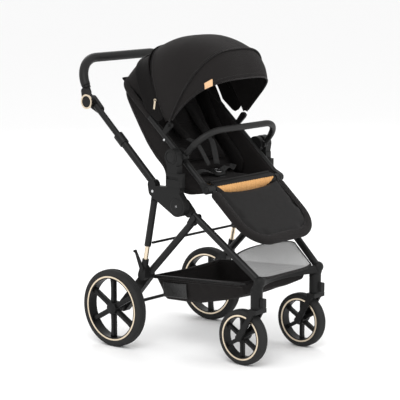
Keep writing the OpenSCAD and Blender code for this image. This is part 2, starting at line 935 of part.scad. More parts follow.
front_leg(left);  // front_leg_left
front_leg(right);  // front_leg_right
front_bridge();
footwell_mesh();
basket();
basket_rods();
front_fork(left);  // front_fork_left
front_fork(right);  // front_fork_right
swivel_lock(left);  // swivel_lock_left
swivel_lock(right);  // swivel_lock_right
tyre(front_track / 2, front_axle, front_wheel_d, front_tyre_w, front_tyre_h);  // front_tyre_left
tyre(-front_track / 2, front_axle, front_wheel_d, front_tyre_w, front_tyre_h);  // front_tyre_right
rim(front_track / 2, front_axle, front_wheel_d, front_tyre_w, front_tyre_h, 17, 13);  // front_rim_left
rim(-front_track / 2, front_axle, front_wheel_d, front_tyre_w, front_tyre_h, 17, 13);  // front_rim_right
trim_ring(front_track / 2, front_axle, front_wheel_d, front_tyre_w, front_tyre_h);  // front_trim_left
trim_ring(-front_track / 2, front_axle, front_wheel_d, front_tyre_w, front_tyre_h);  // front_trim_right
fold_casting(left);  // fold_casting_left
fold_casting(right);  // fold_casting_right
upper_tube(left);  // upper_tube_left
upper_tube(right);  // upper_tube_right
seat_socket(left);  // seat_socket_left
seat_socket(right);  // seat_socket_right
seat_adapter(left);  // seat_adapter_left
seat_adapter(right);  // seat_adapter_right
slide_tubes();
handlebar();
handle_grip();
handle_rings();
handle_button(left);  // handle_button_left
handle_button(right);  // handle_button_right
rear_leg(left);  // rear_leg_left
rear_leg(right);  // rear_leg_right
leg_crossbar();
strut(left);  // strut_left
strut(right);  // strut_right
strut_foot(left);  // strut_foot_left
strut_foot(right);  // strut_foot_right
fold_latch();
rear_arm(left);  // rear_arm_left
rear_arm(right);  // rear_arm_right
rear_axle_bar();
brake_pedal();
tyre(rear_track / 2, rear_axle, rear_wheel_d, rear_tyre_w, rear_tyre_h);  // rear_tyre_left
tyre(-rear_track / 2, rear_axle, rear_wheel_d, rear_tyre_w, rear_tyre_h);  // rear_tyre_right
rim(rear_track / 2, rear_axle, rear_wheel_d, rear_tyre_w, rear_tyre_h, 22, 17);  // rear_rim_left
rim(-rear_track / 2, rear_axle, rear_wheel_d, rear_tyre_w, rear_tyre_h, 22, 17);  // rear_rim_right
trim_ring(rear_track / 2, rear_axle, rear_wheel_d, rear_tyre_w, rear_tyre_h);  // rear_trim_left
trim_ring(-rear_track / 2, rear_axle, rear_wheel_d, rear_tyre_w, rear_tyre_h);  // rear_trim_right
seat_frame();
seat_hubs();
seat_shell();
seat_liner();
harness();
buckle_button();
legrest_frame();
legrest_pad();
bumper_bar();
canopy_rear();
canopy_main();
canopy_visor();
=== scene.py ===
"""Looks of a folding baby stroller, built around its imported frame."""
import json
import math

import bmesh
import bpy
import numpy as np
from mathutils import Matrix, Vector


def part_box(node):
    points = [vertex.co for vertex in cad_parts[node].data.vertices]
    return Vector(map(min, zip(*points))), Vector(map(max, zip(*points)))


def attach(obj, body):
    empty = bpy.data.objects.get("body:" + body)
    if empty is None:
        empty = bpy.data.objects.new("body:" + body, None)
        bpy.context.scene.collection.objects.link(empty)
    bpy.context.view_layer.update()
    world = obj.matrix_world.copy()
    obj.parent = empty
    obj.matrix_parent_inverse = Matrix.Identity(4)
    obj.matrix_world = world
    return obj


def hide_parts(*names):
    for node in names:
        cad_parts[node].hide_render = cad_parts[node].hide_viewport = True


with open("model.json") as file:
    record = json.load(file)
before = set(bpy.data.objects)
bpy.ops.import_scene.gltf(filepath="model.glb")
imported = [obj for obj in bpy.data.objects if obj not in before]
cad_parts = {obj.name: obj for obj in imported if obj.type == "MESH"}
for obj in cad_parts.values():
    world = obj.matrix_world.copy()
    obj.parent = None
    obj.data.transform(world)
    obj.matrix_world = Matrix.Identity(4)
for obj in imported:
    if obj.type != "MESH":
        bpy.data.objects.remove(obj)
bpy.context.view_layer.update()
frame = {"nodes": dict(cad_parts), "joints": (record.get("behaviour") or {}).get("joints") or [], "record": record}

bl_info = {
    "name": "Baby stroller",
    "version": (1, 0, 0),
    "blender": (4, 5, 0),
    "location": "View3D > Sidebar > Stroller",
    "description": "Builds the fabrics, pads, sleeves, tyres and finishes of a folding baby stroller",
    "category": "Object",
}

CLEAR = 0.0006
FINISHES = {}


# ---- reference places: joints and part boxes taken from the frame, with some given angles and widths ----

def joint_at(name):
    """Side view place of a joint as (y, z) in metres"""
    found = next(j for j in frame["joints"] if j["name"] == name)
    return np.array(found["pos_m"][1:], float)


def ray(degrees, length=1.0):
    """A step in the side view"""
    turn = math.radians(degrees)
    return length * np.array([math.cos(turn), math.sin(turn)])


HUB = joint_at("seat_recline")
KNEE = joint_at("legrest_tilt")
BUMPER = joint_at("bumper_swing")
HOOD = joint_at("canopy_fold")
HANDLE = joint_at("handle_tilt")
REAR = joint_at("rear_wheel_spin_left")
FRONT = joint_at("front_wheel_spin_left")
FOLD = joint_at("main_fold")
SEAT_ANGLE = 41.3
HANDLE_ANGLE = 65.0
SEAT_X = 0.2
SHELL_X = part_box("seat_shell")[1].x
HOOD_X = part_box("canopy_main")[1].x
SEAT_LEN = float(np.linalg.norm(HUB + ray(SEAT_ANGLE - 90, 0.008) + ray(SEAT_ANGLE, 0.38) - KNEE))


# ---- shader building ----

class Flow:
    """A shader value that takes part in Python sums"""

    def __init__(self, tree, socket):
        self.tree = tree
        self.socket = socket

    def maths(self, operation, *others):
        node = self.tree.nodes.new("ShaderNodeMath")
        node.operation = operation
        for place, value in enumerate(others):
            feed(self.tree, node.inputs[place], value)
        return Flow(self.tree, node.outputs[0])

    def __add__(self, other): return self.maths("ADD", self, other)
    def __radd__(self, other): return self.maths("ADD", other, self)
    def __sub__(self, other): return self.maths("SUBTRACT", self, other)
    def __rsub__(self, other): return self.maths("SUBTRACT", other, self)
    def __mul__(self, other): return self.maths("MULTIPLY", self, other)
    def __rmul__(self, other): return self.maths("MULTIPLY", other, self)
    def __truediv__(self, other): return self.maths("DIVIDE", self, other)
    def __rtruediv__(self, other): return self.maths("DIVIDE", other, self)
    def __pow__(self, other): return self.maths("POWER", self, other)
    def __abs__(self): return self.maths("ABSOLUTE", self)
    def sine(self): return self.maths("SINE", self)
    def above(self, edge): return self.maths("GREATER_THAN", self, edge)


def feed(tree, socket, value):
    """Links a shader value to a socket, or sets a constant on it"""
    if isinstance(value, Flow):
        tree.links.new(value.socket, socket)
    else:
        socket.default_value = value


class Finish:
    """One material's nodes around a Principled shader"""

    def __init__(self, name):
        self.material = bpy.data.materials.new(name)
        self.material.use_nodes = True
        self.tree = self.material.node_tree
        self.shader = next(n for n in self.tree.nodes if n.type == "BSDF_PRINCIPLED")

    def node(self, kind, inputs=None, out=0, **settings):
        made = self.tree.nodes.new(kind)
        for key, value in settings.items():
            if key == "stops":
                for place, (at, colour) in enumerate(value):
                    ramp = made.color_ramp.elements
                    stop = ramp[place] if place < 2 else ramp.new(at)
                    stop.position, stop.color = at, colour
            else:
                setattr(made, key, value)
        for key, value in (inputs or {}).items():
            feed(self.tree, made.inputs[key], value)
        return Flow(self.tree, made.outputs[out])

    def place(self, uv=False):
        kind = "UV" if uv else "Object"
        return self.node("ShaderNodeTexCoord", out=kind)

    def axis(self, vector, name):
        return self.node("ShaderNodeSeparateXYZ", {0: vector}, out=name)

    def cloud(self, where, scale, detail=3.0, rough=0.55):
        return self.node("ShaderNodeTexNoise",
                         {"Vector": where, "Scale": scale, "Detail": detail, "Roughness": rough})

    def cells(self, where, scale, feature="F1", spread=1.0):
        return self.node("ShaderNodeTexVoronoi", {"Vector": where, "Scale": scale, "Randomness": spread},
                         feature=feature)

    def mix(self, share, low, high):
        return self.node("ShaderNodeMix", {0: share, 6: low, 7: high}, out=2, data_type="RGBA")

    def set(self, **values):
        for key, value in values.items():
            feed(self.tree, self.shader.inputs[key.replace("_", " ")], value)

    def bump(self, height, distance, strength=1.0):
        normal = self.node("ShaderNodeBump", {"Height": height, "Distance": distance, "Strength": strength})
        self.set(Normal=normal)


def shade(level, warm=1.0, alpha=1.0):
    """A grey level as a colour, a little warm or cool"""
    return (level * warm, level, level / warm, alpha)


def paint(name, colour, rough, grain=900.0, depth=0.00004, metal=0.0, coat=0.0):
    """Powder coat or moulded plastic: fine grain and slow changes of gloss"""
    f = Finish(name)
    here = f.place()
    fine = f.cloud(here, grain, 2.0)
    slow = f.cloud(here, 14.0, 3.0)
    low = tuple(c * 0.86 for c in colour[:3]) + (1.0,)
    high = tuple(min(1.0, c * 1.16) for c in colour[:3]) + (1.0,)
    f.set(Base_Color=f.mix(slow, low, high), Roughness=rough - 0.08 + slow * 0.12 + fine * 0.06, Metallic=metal)
    f.set(Coat_Weight=coat, Specular_IOR_Level=0.16)
    f.bump(fine, depth)
    return f.material


def woven(name, colour, pitch=0.0011, rough=0.86, sheen=0.05, depth=0.00022, uv=True):
    """Plain weave cloth with a melange of darker and lighter yarns"""
    f = Finish(name)
    here = f.place(uv)
    turn = 2 * math.pi / pitch
    across, along = f.axis(here, "X"), f.axis(here, "Y")
    warp = (across * turn).sine()
    weft = (along * turn).sine()
    over = (warp * weft).above(0.0)
    threads = over * abs(warp) + (1.0 - over) * abs(weft)
    yarn = f.cloud(here, 420.0, 2.0)
    slow = f.cloud(here, 9.0, 4.0)
    tint = yarn * 0.45 + slow * 0.35 + threads * 0.2
    low = tuple(c * 0.62 for c in colour[:3]) + (1.0,)
    high = tuple(min(1.0, c * 1.4) for c in colour[:3]) + (1.0,)
    f.set(Base_Color=f.mix(tint, low, high), Roughness=rough + yarn * 0.1)
    f.set(Sheen_Weight=sheen, Sheen_Roughness=0.4, Sheen_Tint=(0.75, 0.72, 0.72, 1.0), Specular_IOR_Level=0.12)
    f.bump(threads + yarn * 0.5 + slow * 0.6, depth)
    return f.material


def hide(name, colour, rough=0.42, pebble=520.0, depth=0.00028, coat=0.08, uv=False):
    """Leatherette with a pebble grain and fine creases"""
    f = Finish(name)
    here = f.place(uv)
    pebbles = f.cells(here, pebble, "SMOOTH_F1")
    crease = f.cloud(here, 60.0, 5.0, 0.65)
    slow = f.cloud(here, 12.0, 2.0)
    low = tuple(c * 0.75 for c in colour[:3]) + (1.0,)
    high = tuple(min(1.0, c * 1.22) for c in colour[:3]) + (1.0,)
    f.set(Base_Color=f.mix(slow * 0.6 + pebbles * 0.5, low, high), Roughness=rough + crease * 0.16)
    f.set(Coat_Weight=coat, Coat_Roughness=0.4, Specular_IOR_Level=0.16)
    f.bump(pebbles * 0.7 + crease * 0.5, depth)
    return f.material


def metal(name, colour, rough=0.28):
    """Brushed plated metal"""
    f = Finish(name)
    here = f.place()
    streak = f.cloud(f.node("ShaderNodeMapping", {"Vector": here, "Scale": (2600.0, 160.0, 160.0)}), 1.0, 2.0)
    slow = f.cloud(here, 22.0, 3.0)
    low = tuple(c * 0.9 for c in colour[:3]) + (1.0,)
    f.set(Base_Color=f.mix(slow, low, colour), Metallic=1.0, Roughness=rough + streak * 0.14)
    f.bump(streak, 0.00002)
    return f.material


def rubber(name, colour):
    """Foam rubber with fine pores and a little dust"""
    f = Finish(name)
    here = f.place()
    fine = f.cloud(here, 700.0, 3.0)
    dust = f.cloud(here, 26.0, 4.0, 0.6)
    high = tuple(c * 1.5 for c in colour[:3]) + (1.0,)
    f.set(Base_Color=f.mix(dust, colour, high), Roughness=0.72 + fine * 0.2)
    f.set(Specular_IOR_Level=0.15)
    f.bump(fine + dust * 0.4, 0.00012)
    return f.material


def net(name, colour, pitch=0.0042, hole=0.33):
    """Open net: round holes in a staggered grid, read from the sheet's own map"""
    f = Finish(name)
    here = f.place(True)
    across, along = f.axis(here, "X") / pitch, f.axis(here, "Y") / (pitch * 0.866)
    row = along.maths("FLOOR", along)
    shift = row.maths("MODULO", row, 2.0) * 0.5
    u = (across + shift).maths("FRACT", across + shift) - 0.5
    v = along.maths("FRACT", along) - 0.5
    away = (u * u + v * v) ** 0.5
    cloth = away.above(hole)
    slow = f.cloud(f.place(), 16.0, 3.0)
    high = tuple(min(1.0, c * 1.25) for c in colour[:3]) + (1.0,)
    f.set(Base_Color=f.mix(slow, colour, high), Roughness=0.8 + slow * 0.1, Alpha=cloth)
    f.set(Sheen_Weight=0.3)
    f.bump(away, 0.0004)
    return f.material


def ribbed(name, colour, pitch=0.0014):
    """Strap webbing: ribs across, yarns along"""
    f = Finish(name)
    here = f.place(True)
    ribs = abs((f.axis(here, "Y") * (math.pi / pitch)).sine())
    yarns = abs((f.axis(here, "X") * (math.pi / (pitch * 0.8))).sine())
    fuzz = f.cloud(here, 300.0, 3.0)
    high = tuple(min(1.0, c * 1.7) for c in colour[:3]) + (1.0,)
    f.set(Base_Color=f.mix(ribs * 0.5 + fuzz * 0.5, colour, high), Roughness=0.6 + fuzz * 0.2)
    f.set(Sheen_Weight=0.05, Specular_IOR_Level=0.12)
    f.bump(ribs + yarns * 0.4, 0.0003)
    return f.material


def make_finishes(sizes):
    """Fills the table of finishes from the sizes and colours of the panel"""
    black = tuple(sizes.fabric_colour) + (1.0,)
    FINISHES.update(
        frame=paint("frame_powder_coat", shade(sizes.frame_level), 0.44, 1400.0, 0.00005, coat=0.05),
        casting=paint("moulded_nylon", shade(sizes.frame_level * 0.92), 0.5, 900.0, 0.00007),
        rim=paint("rim_nylon", shade(sizes.frame_level * 0.7), 0.42, 700.0, 0.00005),
        button=paint("soft_touch_plastic", shade(sizes.frame_level * 1.3), 0.62, 1200.0, 0.00004),
        rod=paint("rod_enamel", shade(sizes.frame_level * 0.5), 0.35, 1600.0, 0.00003),
        trim=metal("champagne_metal", tuple(sizes.trim_colour) + (1.0,)),
        steel=metal("bright_screw_steel", (0.62, 0.62, 0.63, 1.0), 0.22),
        tyre=rubber("tyre_foam", shade(0.018)),
        fabric=woven("charcoal_weave", black),
        gusset=woven("dark_gusset_weave", tuple(c * 0.45 for c in black[:3]) + (1.0,), 0.0014, 0.9, 0.03),
        pad=woven("pad_jersey", tuple(c * 0.5 for c in black[:3]) + (1.0,), 0.0013, 0.88, 0.04, uv=False),
        panel=hide("smooth_leatherette", tuple(c * 0.5 for c in black[:3]) + (1.0,), 0.5, 900.0, 0.0001, 0.03),
        sleeve=hide("grip_leatherette", shade(0.011, 1.02), 0.42),
        quilt=hide("tan_quilt", tuple(sizes.quilt_colour) + (1.0,), 0.5, 800.0, 0.00016, 0.04),
        tag=hide("tan_tag", tuple(sizes.tag_colour) + (1.0,), 0.5, 700.0, 0.00016, 0.04),
        gloss=hide("coated_patch", shade(0.014), 0.2, 300.0, 0.0002, 0.5),
        mesh=net("grey_net", shade(0.30)),
        webbing=ribbed("strap_webbing", shade(0.016)),
        thread=ribbed("dark_thread", shade(0.05), 0.0008),
        bright_thread=ribbed("tan_thread", (0.35, 0.24, 0.13, 1.0), 0.0008),
        piping=woven("piping_bias", tuple(c * 0.55 for c in black[:3]) + (1.0,), 0.001, 0.7, 0.2),
    )


# ---- mesh building ----

def smooth_path(points, steps):
    """A Catmull-Rom line through the points"""
    p = np.asarray(points, float)
    ends = np.vstack([2 * p[0] - p[1], p, 2 * p[-1] - p[-2]])
    made = []
    for i in range(len(p) - 1):
        a, b, c, d = ends[i:i + 4]
        for t in np.arange(steps) / steps:
            made.append(0.5 * (2 * b + (c - a) * t + (2 * a - 5 * b + 4 * c - d) * t ** 2
                               + (3 * b - a - 3 * c + d) * t ** 3))
    return np.array(made + [p[-1]])


def spaced(points, count):
    """The same line with evenly spaced points"""
    p = np.asarray(points, float)
    run = np.concatenate([[0], np.cumsum(np.linalg.norm(np.diff(p, axis=0), axis=1))])
    at = np.linspace(0, run[-1], count)
    return np.stack([np.interp(at, run, p[:, k]) for k in range(p.shape[1])], axis=1)


def placed(name, mesh):
    """A mesh as an object in the scene"""
    made = bpy.data.objects.new(name, mesh)
    bpy.context.scene.collection.objects.link(made)
    return made


def surface(name, rows, inside=None, loop=False):
    """Quads through rows of points with a UV map in metres; faces point away from inside"""
    p = np.asarray(rows, float)
    n, m = p.shape[:2]
    last = m if loop else m - 1
    faces = [(i * m + j, i * m + (j + 1) % m, (i + 1) * m + (j + 1) % m, (i + 1) * m + j)
             for i in range(n - 1) for j in range(last)]
    if inside is not None:
        a, b = p[:-1, :-1], p[1:, :-1]
        c = p[:-1, 1:]
        normal = np.cross(c - a, b - a)
        if np.sum(normal * (a - np.asarray(inside, float))) < 0:
            faces = [f[::-1] for f in faces]
    mesh = bpy.data.meshes.new(name)
    mesh.from_pydata(p.reshape(-1, 3).tolist(), [], faces)
    ring = np.concatenate([p, p[:, :1]], axis=1) if loop else p
    across = np.zeros(ring.shape[:2])
    across[:, 1:] = np.cumsum(np.linalg.norm(np.diff(ring, axis=1), axis=2), axis=1)
    across -= across[:, -1:] / 2
    along = np.zeros(ring.shape[:2])
    along[1:] = np.cumsum(np.linalg.norm(np.diff(ring, axis=0), axis=2), axis=0)
    along[:] = along.mean(axis=1, keepdims=True)
    layer = mesh.uv_layers.new(name="cloth")
    for face in mesh.polygons:
        cols = [mesh.loops[k].vertex_index % m for k in face.loop_indices]
        wraps = loop and max(cols) == m - 1 and min(cols) == 0
        for k in face.loop_indices:
            i, j = divmod(mesh.loops[k].vertex_index, m)
            j = m if wraps and j == 0 else j
            layer.data[k].uv = (across[i, j], along[i, j])
    mesh.shade_smooth()
    return placed(name, mesh)


def cleaned(piece, fill=False, merge=False):
    """Merges doubles or closes holes where asked, then turns the faces outwards"""
    b = bmesh.new()
    b.from_mesh(piece.data)
    if merge:
        bmesh.ops.remove_doubles(b, verts=b.verts, dist=1e-6)
    if fill:
        bmesh.ops.holes_fill(b, edges=[e for e in b.edges if e.is_boundary])
    bmesh.ops.recalc_face_normals(b, faces=b.faces)
    b.to_mesh(piece.data)
    b.free()
    return piece


def settle(piece):
    """Turns the piece with its modifiers into a plain mesh"""
    bpy.context.view_layer.update()
    seen = piece.evaluated_get(bpy.context.evaluated_depsgraph_get())
    mesh = bpy.data.meshes.new_from_object(seen)
    piece.modifiers.clear()
    piece.data = mesh
    return piece


def thicken(piece, wall, offset=-1.0):
    """Gives a sheet its wall"""
    solid = piece.modifiers.new("wall", "SOLIDIFY")
    solid.thickness = wall
    solid.offset = offset
    solid.use_even_offset = wall > 0.0025
    return settle(piece)


def round_faces(piece, steps=1):
    """Subdivides a piece smoothly"""
    sub = piece.modifiers.new("round", "SUBSURF")
    sub.levels = sub.render_levels = steps
    return settle(piece)


def wear(piece, finish, body, stands_for=()):
    """Gives a piece its finish and its body"""
    piece.data.materials.clear()
    piece.data.materials.append(FINISHES[finish])
    piece.data.shade_smooth()
    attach(piece, body)
    if stands_for:
        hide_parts(*stands_for)
    return piece


def frames_along(path, up):
    """Two cross directions at each point of a path, without twist"""
    p = np.asarray(path, float)
    t = np.gradient(p, axis=0)
    t /= np.linalg.norm(t, axis=1, keepdims=True)
    u = np.asarray(up, float)
    us, vs = [], []
    for d in t:
        u = u - d * (u @ d)
        u = u / np.linalg.norm(u)
        us.append(u)
        vs.append(np.cross(d, u))
    return np.array(us), np.array(vs)


def sweep(name, path, outline, up=(0, 0, 1), size=None, closed_ends=True):
    """A cross-section carried along a path; size scales it at each point"""
    p = np.asarray(path, float)
    u, v = frames_along(p, up)
    o = np.asarray(outline, float)
    size = np.ones((len(p), 2)) if size is None else np.asarray(size, float)
    rows = [q + o[:, :1] * s[0] * a + o[:, 1:] * s[1] * b for q, a, b, s in zip(p, u, v, size)]
    piece = surface(name, rows, loop=True)
    return cleaned(piece, fill=True) if closed_ends else piece


def circle(r, sides=16, squash=1.0):
    """Points of a round or oval outline"""
    a = np.arange(sides) * 2 * math.pi / sides
    return np.stack([r * np.cos(a), r * squash * np.sin(a)], axis=1)


def soft_rect(w, h, power=5.0, sides=32):
    """A rounded rectangle outline"""
    a = np.arange(sides) * 2 * math.pi / sides
    c, s = np.cos(a), np.sin(a)
    return np.stack([w / 2 * np.sign(c) * abs(c) ** (2 / power), h / 2 * np.sign(s) * abs(s) ** (2 / power)], axis=1)


def u_path(half, start, reach, bend, steps=14):
    """Half-width, straight legs and round corners of a U, as (x, along) points"""
    a = np.linspace(0, math.pi / 2, steps)
    right = [[half, start]] + [[half - bend + bend * math.cos(t), reach - bend + bend * math.sin(t)] for t in a]
    left = [[-x, y] for x, y in right[::-1]]
    return np.array(right + left)


def lifted(flat, origin, degrees, height=0.0):
    """Points (x, along) put on a plane through a side place, at an angle above the ground"""
    flat = np.asarray(flat, float)
    along, normal = ray(degrees), ray(degrees + 90)
    yz = origin + flat[:, 1:2] * along + height * normal
    return np.concatenate([flat[:, :1], yz], axis=1)


def lathe(name, outline, x, centre, steps=96):
    """An outline of (radius, x) turned about a wheel axis"""
    o = np.asarray(outline, float)
    a = np.arange(steps + 1) * 2 * math.pi / steps
    rows = [[(x + q[1], centre[0] + q[0] * math.cos(t), centre[1] + q[0] * math.sin(t)) for q in o] for t in a]
    return cleaned(surface(name, rows, inside=(x, centre[0], centre[1])), merge=True)


def join(name, pieces):
    """Several meshes as one piece"""
    b = bmesh.new()
    for piece in pieces:
        b.from_mesh(piece.data)
    mesh = bpy.data.meshes.new(name)
    b.to_mesh(mesh)
    b.free()
    for piece in pieces:
        bpy.data.objects.remove(piece)
    mesh.shade_smooth()
    return placed(name, mesh)


# ---- geometry nodes: things in rows ----

def tree_with(name, inputs):
    """A geometry tree with named inputs and one mesh going through it"""
    tree = bpy.data.node_groups.new(name, "GeometryNodeTree")
    tree.interface.new_socket("Geometry", in_out="INPUT", socket_type="NodeSocketGeometry")
    for label, kind, default in inputs:
        socket = tree.interface.new_socket(label, in_out="INPUT", socket_type=kind)
        if default is not None:
            socket.default_value = default
    tree.interface.new_socket("Geometry", in_out="OUTPUT", socket_type="NodeSocketGeometry")
    return tree


def wire(tree, kind, links=None, **settings):
    """Adds a node with its settings, and links or sets its inputs"""
    made = tree.nodes.new(kind)
    for key, value in settings.items():
        setattr(made, key, value)
    for key, value in (links or {}).items():
        if isinstance(value, bpy.types.NodeSocket):
            tree.links.new(value, made.inputs[key])
        else:
            made.inputs[key].default_value = value
    return made


def finished_tree(tree, start, copies):
    """Makes the copies real and gives them their finish at the end of a tree"""
    real = wire(tree, "GeometryNodeRealizeInstances", {0: copies.outputs[0]})
    coloured = wire(tree, "GeometryNodeSetMaterial",
                    {"Geometry": real.outputs[0], "Material": start.outputs["Finish"]})
    end = wire(tree, "NodeGroupOutput")
    tree.links.new(coloured.outputs[0], end.inputs[0])
    return tree


def row_tree():
    """Small rounded beads evenly along a line: stitches, zip teeth, ribs"""
    if "beads_along_line" in bpy.data.node_groups:
        return bpy.data.node_groups["beads_along_line"]
    tree = tree_with("beads_along_line", [
        ("Spacing", "NodeSocketFloat", 0.004), ("Bead", "NodeSocketVector", (0.0005, 0.0005, 0.0014)),
        ("Finish", "NodeSocketMaterial", None)])
    start = wire(tree, "NodeGroupInput")
    line = wire(tree, "GeometryNodeMeshToCurve", {"Mesh": start.outputs["Geometry"]})
    even = wire(tree, "GeometryNodeResampleCurve", {"Curve": line.outputs[0], "Length": start.outputs["Spacing"]},
                mode="LENGTH")
    bead = wire(tree, "GeometryNodeMeshIcoSphere", {"Radius": 1.0, "Subdivisions": 1})
    shaped = wire(tree, "GeometryNodeTransform", {"Geometry": bead.outputs[0], "Scale": start.outputs["Bead"]})
    tangent = wire(tree, "GeometryNodeInputTangent")
    turn = wire(tree, "FunctionNodeAlignRotationToVector", {"Vector": tangent.outputs[0]}, axis="Z")
    copies = wire(tree, "GeometryNodeInstanceOnPoints", {
        "Points": even.outputs[0], "Instance": shaped.outputs[0], "Rotation": turn.outputs[0]})
    return finished_tree(tree, start, copies)


def ring_tree():
    """Copies of a part turned round the X axis: spokes, screws, ribs"""
    if "copies_round_axis" in bpy.data.node_groups:
        return bpy.data.node_groups["copies_round_axis"]
    tree = tree_with("copies_round_axis", [
        ("Copies", "NodeSocketInt", 6), ("Turn", "NodeSocketFloat", 1.0), ("Finish", "NodeSocketMaterial", None)])
    start = wire(tree, "NodeGroupInput")
    line = wire(tree, "GeometryNodeMeshLine", {"Count": start.outputs["Copies"], "Offset": (0.0, 0.0, 0.0)})
    count = wire(tree, "GeometryNodeInputIndex")
    angle = wire(tree, "ShaderNodeMath", {0: count.outputs[0], 1: start.outputs["Turn"]}, operation="MULTIPLY")
    turn = wire(tree, "ShaderNodeCombineXYZ", {"X": angle.outputs[0]})
    copies = wire(tree, "GeometryNodeInstanceOnPoints", {
        "Points": line.outputs[0], "Instance": start.outputs["Geometry"], "Rotation": turn.outputs[0]})
    return finished_tree(tree, start, copies)


def run_tree(piece, tree, values):
    """Adds the tree, sets its inputs by identifier and keeps the result as a plain mesh"""
    modifier = piece.modifiers.new(tree.name, "NODES")
    modifier.node_group = tree
    sockets = {s.name: s.identifier for s in tree.interface.items_tree if s.in_out == "INPUT"}
    for label, value in values.items():
        modifier[sockets[label]] = value
    return settle(piece)


def beads(name, lines, spacing, bead, finish, body):
    """Stitches or teeth along one or more lines of points"""
    points, edges = [], []
    for line in lines:
        first = len(points)
        points += [tuple(map(float, q)) for q in line]
        edges += [(i, i + 1) for i in range(first, len(points) - 1)]
    mesh = bpy.data.meshes.new(name)
    mesh.from_pydata(points, edges, [])
    piece = placed(name, mesh)
    run_tree(piece, row_tree(), {"Spacing": spacing, "Bead": bead, "Finish": FINISHES[finish]})
    return wear(piece, finish, body)


def turned(name, piece, copies, x, centre, finish):
    """Copies of a local piece round a wheel axis"""
    piece.name = name
    run_tree(piece, ring_tree(), {"Copies": copies, "Turn": 2 * math.pi / copies, "Finish": FINISHES[finish]})
    shift = np.array([x, centre[0], centre[1]])
    for v in piece.data.vertices:
        v.co = Vector(np.array(v.co) + shift)
    return piece


# ---- padding ----

def inflate(piece, voxel=0.0055, pressure=4.0, most=0.008):
    """Swells a closed shape as a stuffed pad by cloth simulation, then rounds it"""
    remesh = piece.modifiers.new("skin", "REMESH")
    remesh.mode = "VOXEL"
    remesh.voxel_size = voxel
    settle(piece)
    rest = np.array([v.co for v in piece.data.vertices])
    cloth = piece.modifiers.new("swell", "CLOTH")
    cloth.settings.quality = 5
    cloth.settings.use_pressure = True
    cloth.settings.uniform_pressure_force = pressure
    cloth.settings.effector_weights.gravity = 0.0
    cloth.settings.tension_stiffness = cloth.settings.compression_stiffness = 25.0
    scene = bpy.context.scene
    for step in range(1, 21):
        scene.frame_set(step)
    seen = piece.evaluated_get(bpy.context.evaluated_depsgraph_get())
    moved = np.array([v.co for v in seen.data.vertices])
    piece.modifiers.clear()
    scene.frame_set(1)
    if len(moved) != len(rest) or not np.isfinite(moved).all():
        raise RuntimeError(f"{piece.name}: the pad did not settle")
    step = moved - rest
    length = np.linalg.norm(step, axis=1, keepdims=True)
    step *= np.minimum(1.0, most / np.maximum(length, 1e-9))
    piece.data.vertices.foreach_set("co", (rest + step).astype(np.float32).ravel())
    relax = piece.modifiers.new("relax", "SMOOTH")
    relax.factor, relax.iterations = 0.5, 4
    round_faces(piece, 1)
    return piece


def press_lines(piece, distance, width, depth, centre):
    """Sinks sewn channels into a pad: distance(points) is 0 on a seam"""
    co = np.array([v.co for v in piece.data.vertices])
    normals = np.array([v.normal for v in piece.data.vertices])
    gap = np.abs(distance(co)) / width
    sink = depth * np.exp(-gap * gap) * (normals @ centre > 0.2)
    piece.data.vertices.foreach_set("co", (co - normals * sink[:, None]).astype(np.float32).ravel())
    piece.data.update()
    return piece


# ---- canopy ----

def hood_radius(angle):
    """Canopy radius at the middle, by angle from straight ahead"""
    at = [36, 40, 43, 47, 52, 57, 62, 69, 77, 90, 105, 119, 131, 133, 150]
    r = [0.206, 0.228, 0.245, 0.262, 0.278, 0.289, 0.2955, 0.2945, 0.2985, 0.3055, 0.308, 0.3065, 0.308, 0.311, 0.313]
    return float(np.interp(angle, at, r))


def hood_point(angle, phi, radius=None, half=None, low=0.016, power=2.8):
    """A point of the canopy: angle from straight ahead, phi across from side to side"""
    radius = hood_radius(angle) if radius is None else radius
    half = HOOD_X - CLEAR if half is None else half
    c, s = math.cos(phi), math.sin(phi)
    x = half * math.copysign(abs(c) ** (2 / power), c)
    r = low + (radius - low) * max(s, 0.0) ** (2 / power)
    yz = HOOD + ray(180 - angle, r)
    return (x, yz[0], yz[1])


def arch_phis(count=61):
    """Even steps across the arch, closer together at the corners"""
    t = np.linspace(0, 1, count)
    return math.pi * (t - 0.045 * np.sin(4 * math.pi * t))


def panel_rows(start, end, count, phis, sag=0.003, half=None, shrink=0.0):
    """Rows from one rib angle to the next, with the cloth sagging a little between"""
    rows = []
    for t in np.linspace(0, 1, count):
        row = []
        for phi in phis:
            a, b = start(phi) if callable(start) else start, end(phi) if callable(end) else end
            angle = a + (b - a) * t
            dip = sag * math.sin(math.pi * t) * math.sin(phi) ** 0.6 if 0 < phi < math.pi else 0.0
            row.append(hood_point(angle, phi, hood_radius(angle) - dip - shrink, half))
        rows.append(row)
    return rows


def rib_line(angle, phis, out=0.0, half=None):
    """A line across the canopy at one rib angle"""
    half = (HOOD_X - CLEAR if half is None else half) + out
    return [hood_point(angle(phi) if callable(angle) else angle, phi,
                       hood_radius(angle(phi) if callable(angle) else angle) + out, half) for phi in phis]


def cloth_sheet(name, rows, finish, body, wall=0.0014, stands_for=(), inside=None):
    """A thin stretched sheet, thickened and given its finish and body"""
    p = np.asarray(rows, float)
    inside = p.reshape(-1, 3).mean(axis=0) if inside is None else inside
    piece = surface(name, rows, inside=inside)
    thicken(piece, wall)
    wear(piece, finish, body, stands_for)
    return piece


def edging(name, line, radius, finish, body, squash=1.0):
    """A corded edge along a line"""
    return wear(sweep(name, line, circle(radius, 10, squash), up=(0.3, 0.2, 1.0)), finish, body)


VISOR_EDGE = 42.5
VISOR_SEAM = 62.0
BACK_RIB = 119
ZIP_LINE = 126
BACK_SEAM = 131
GUSSET_SPAN = 14
CANOPY_BACK = 150
SEAM_STITCH = (0.00045, 0.00045, 0.0017)
HEM_STITCH = (0.0005, 0.0005, 0.0019)


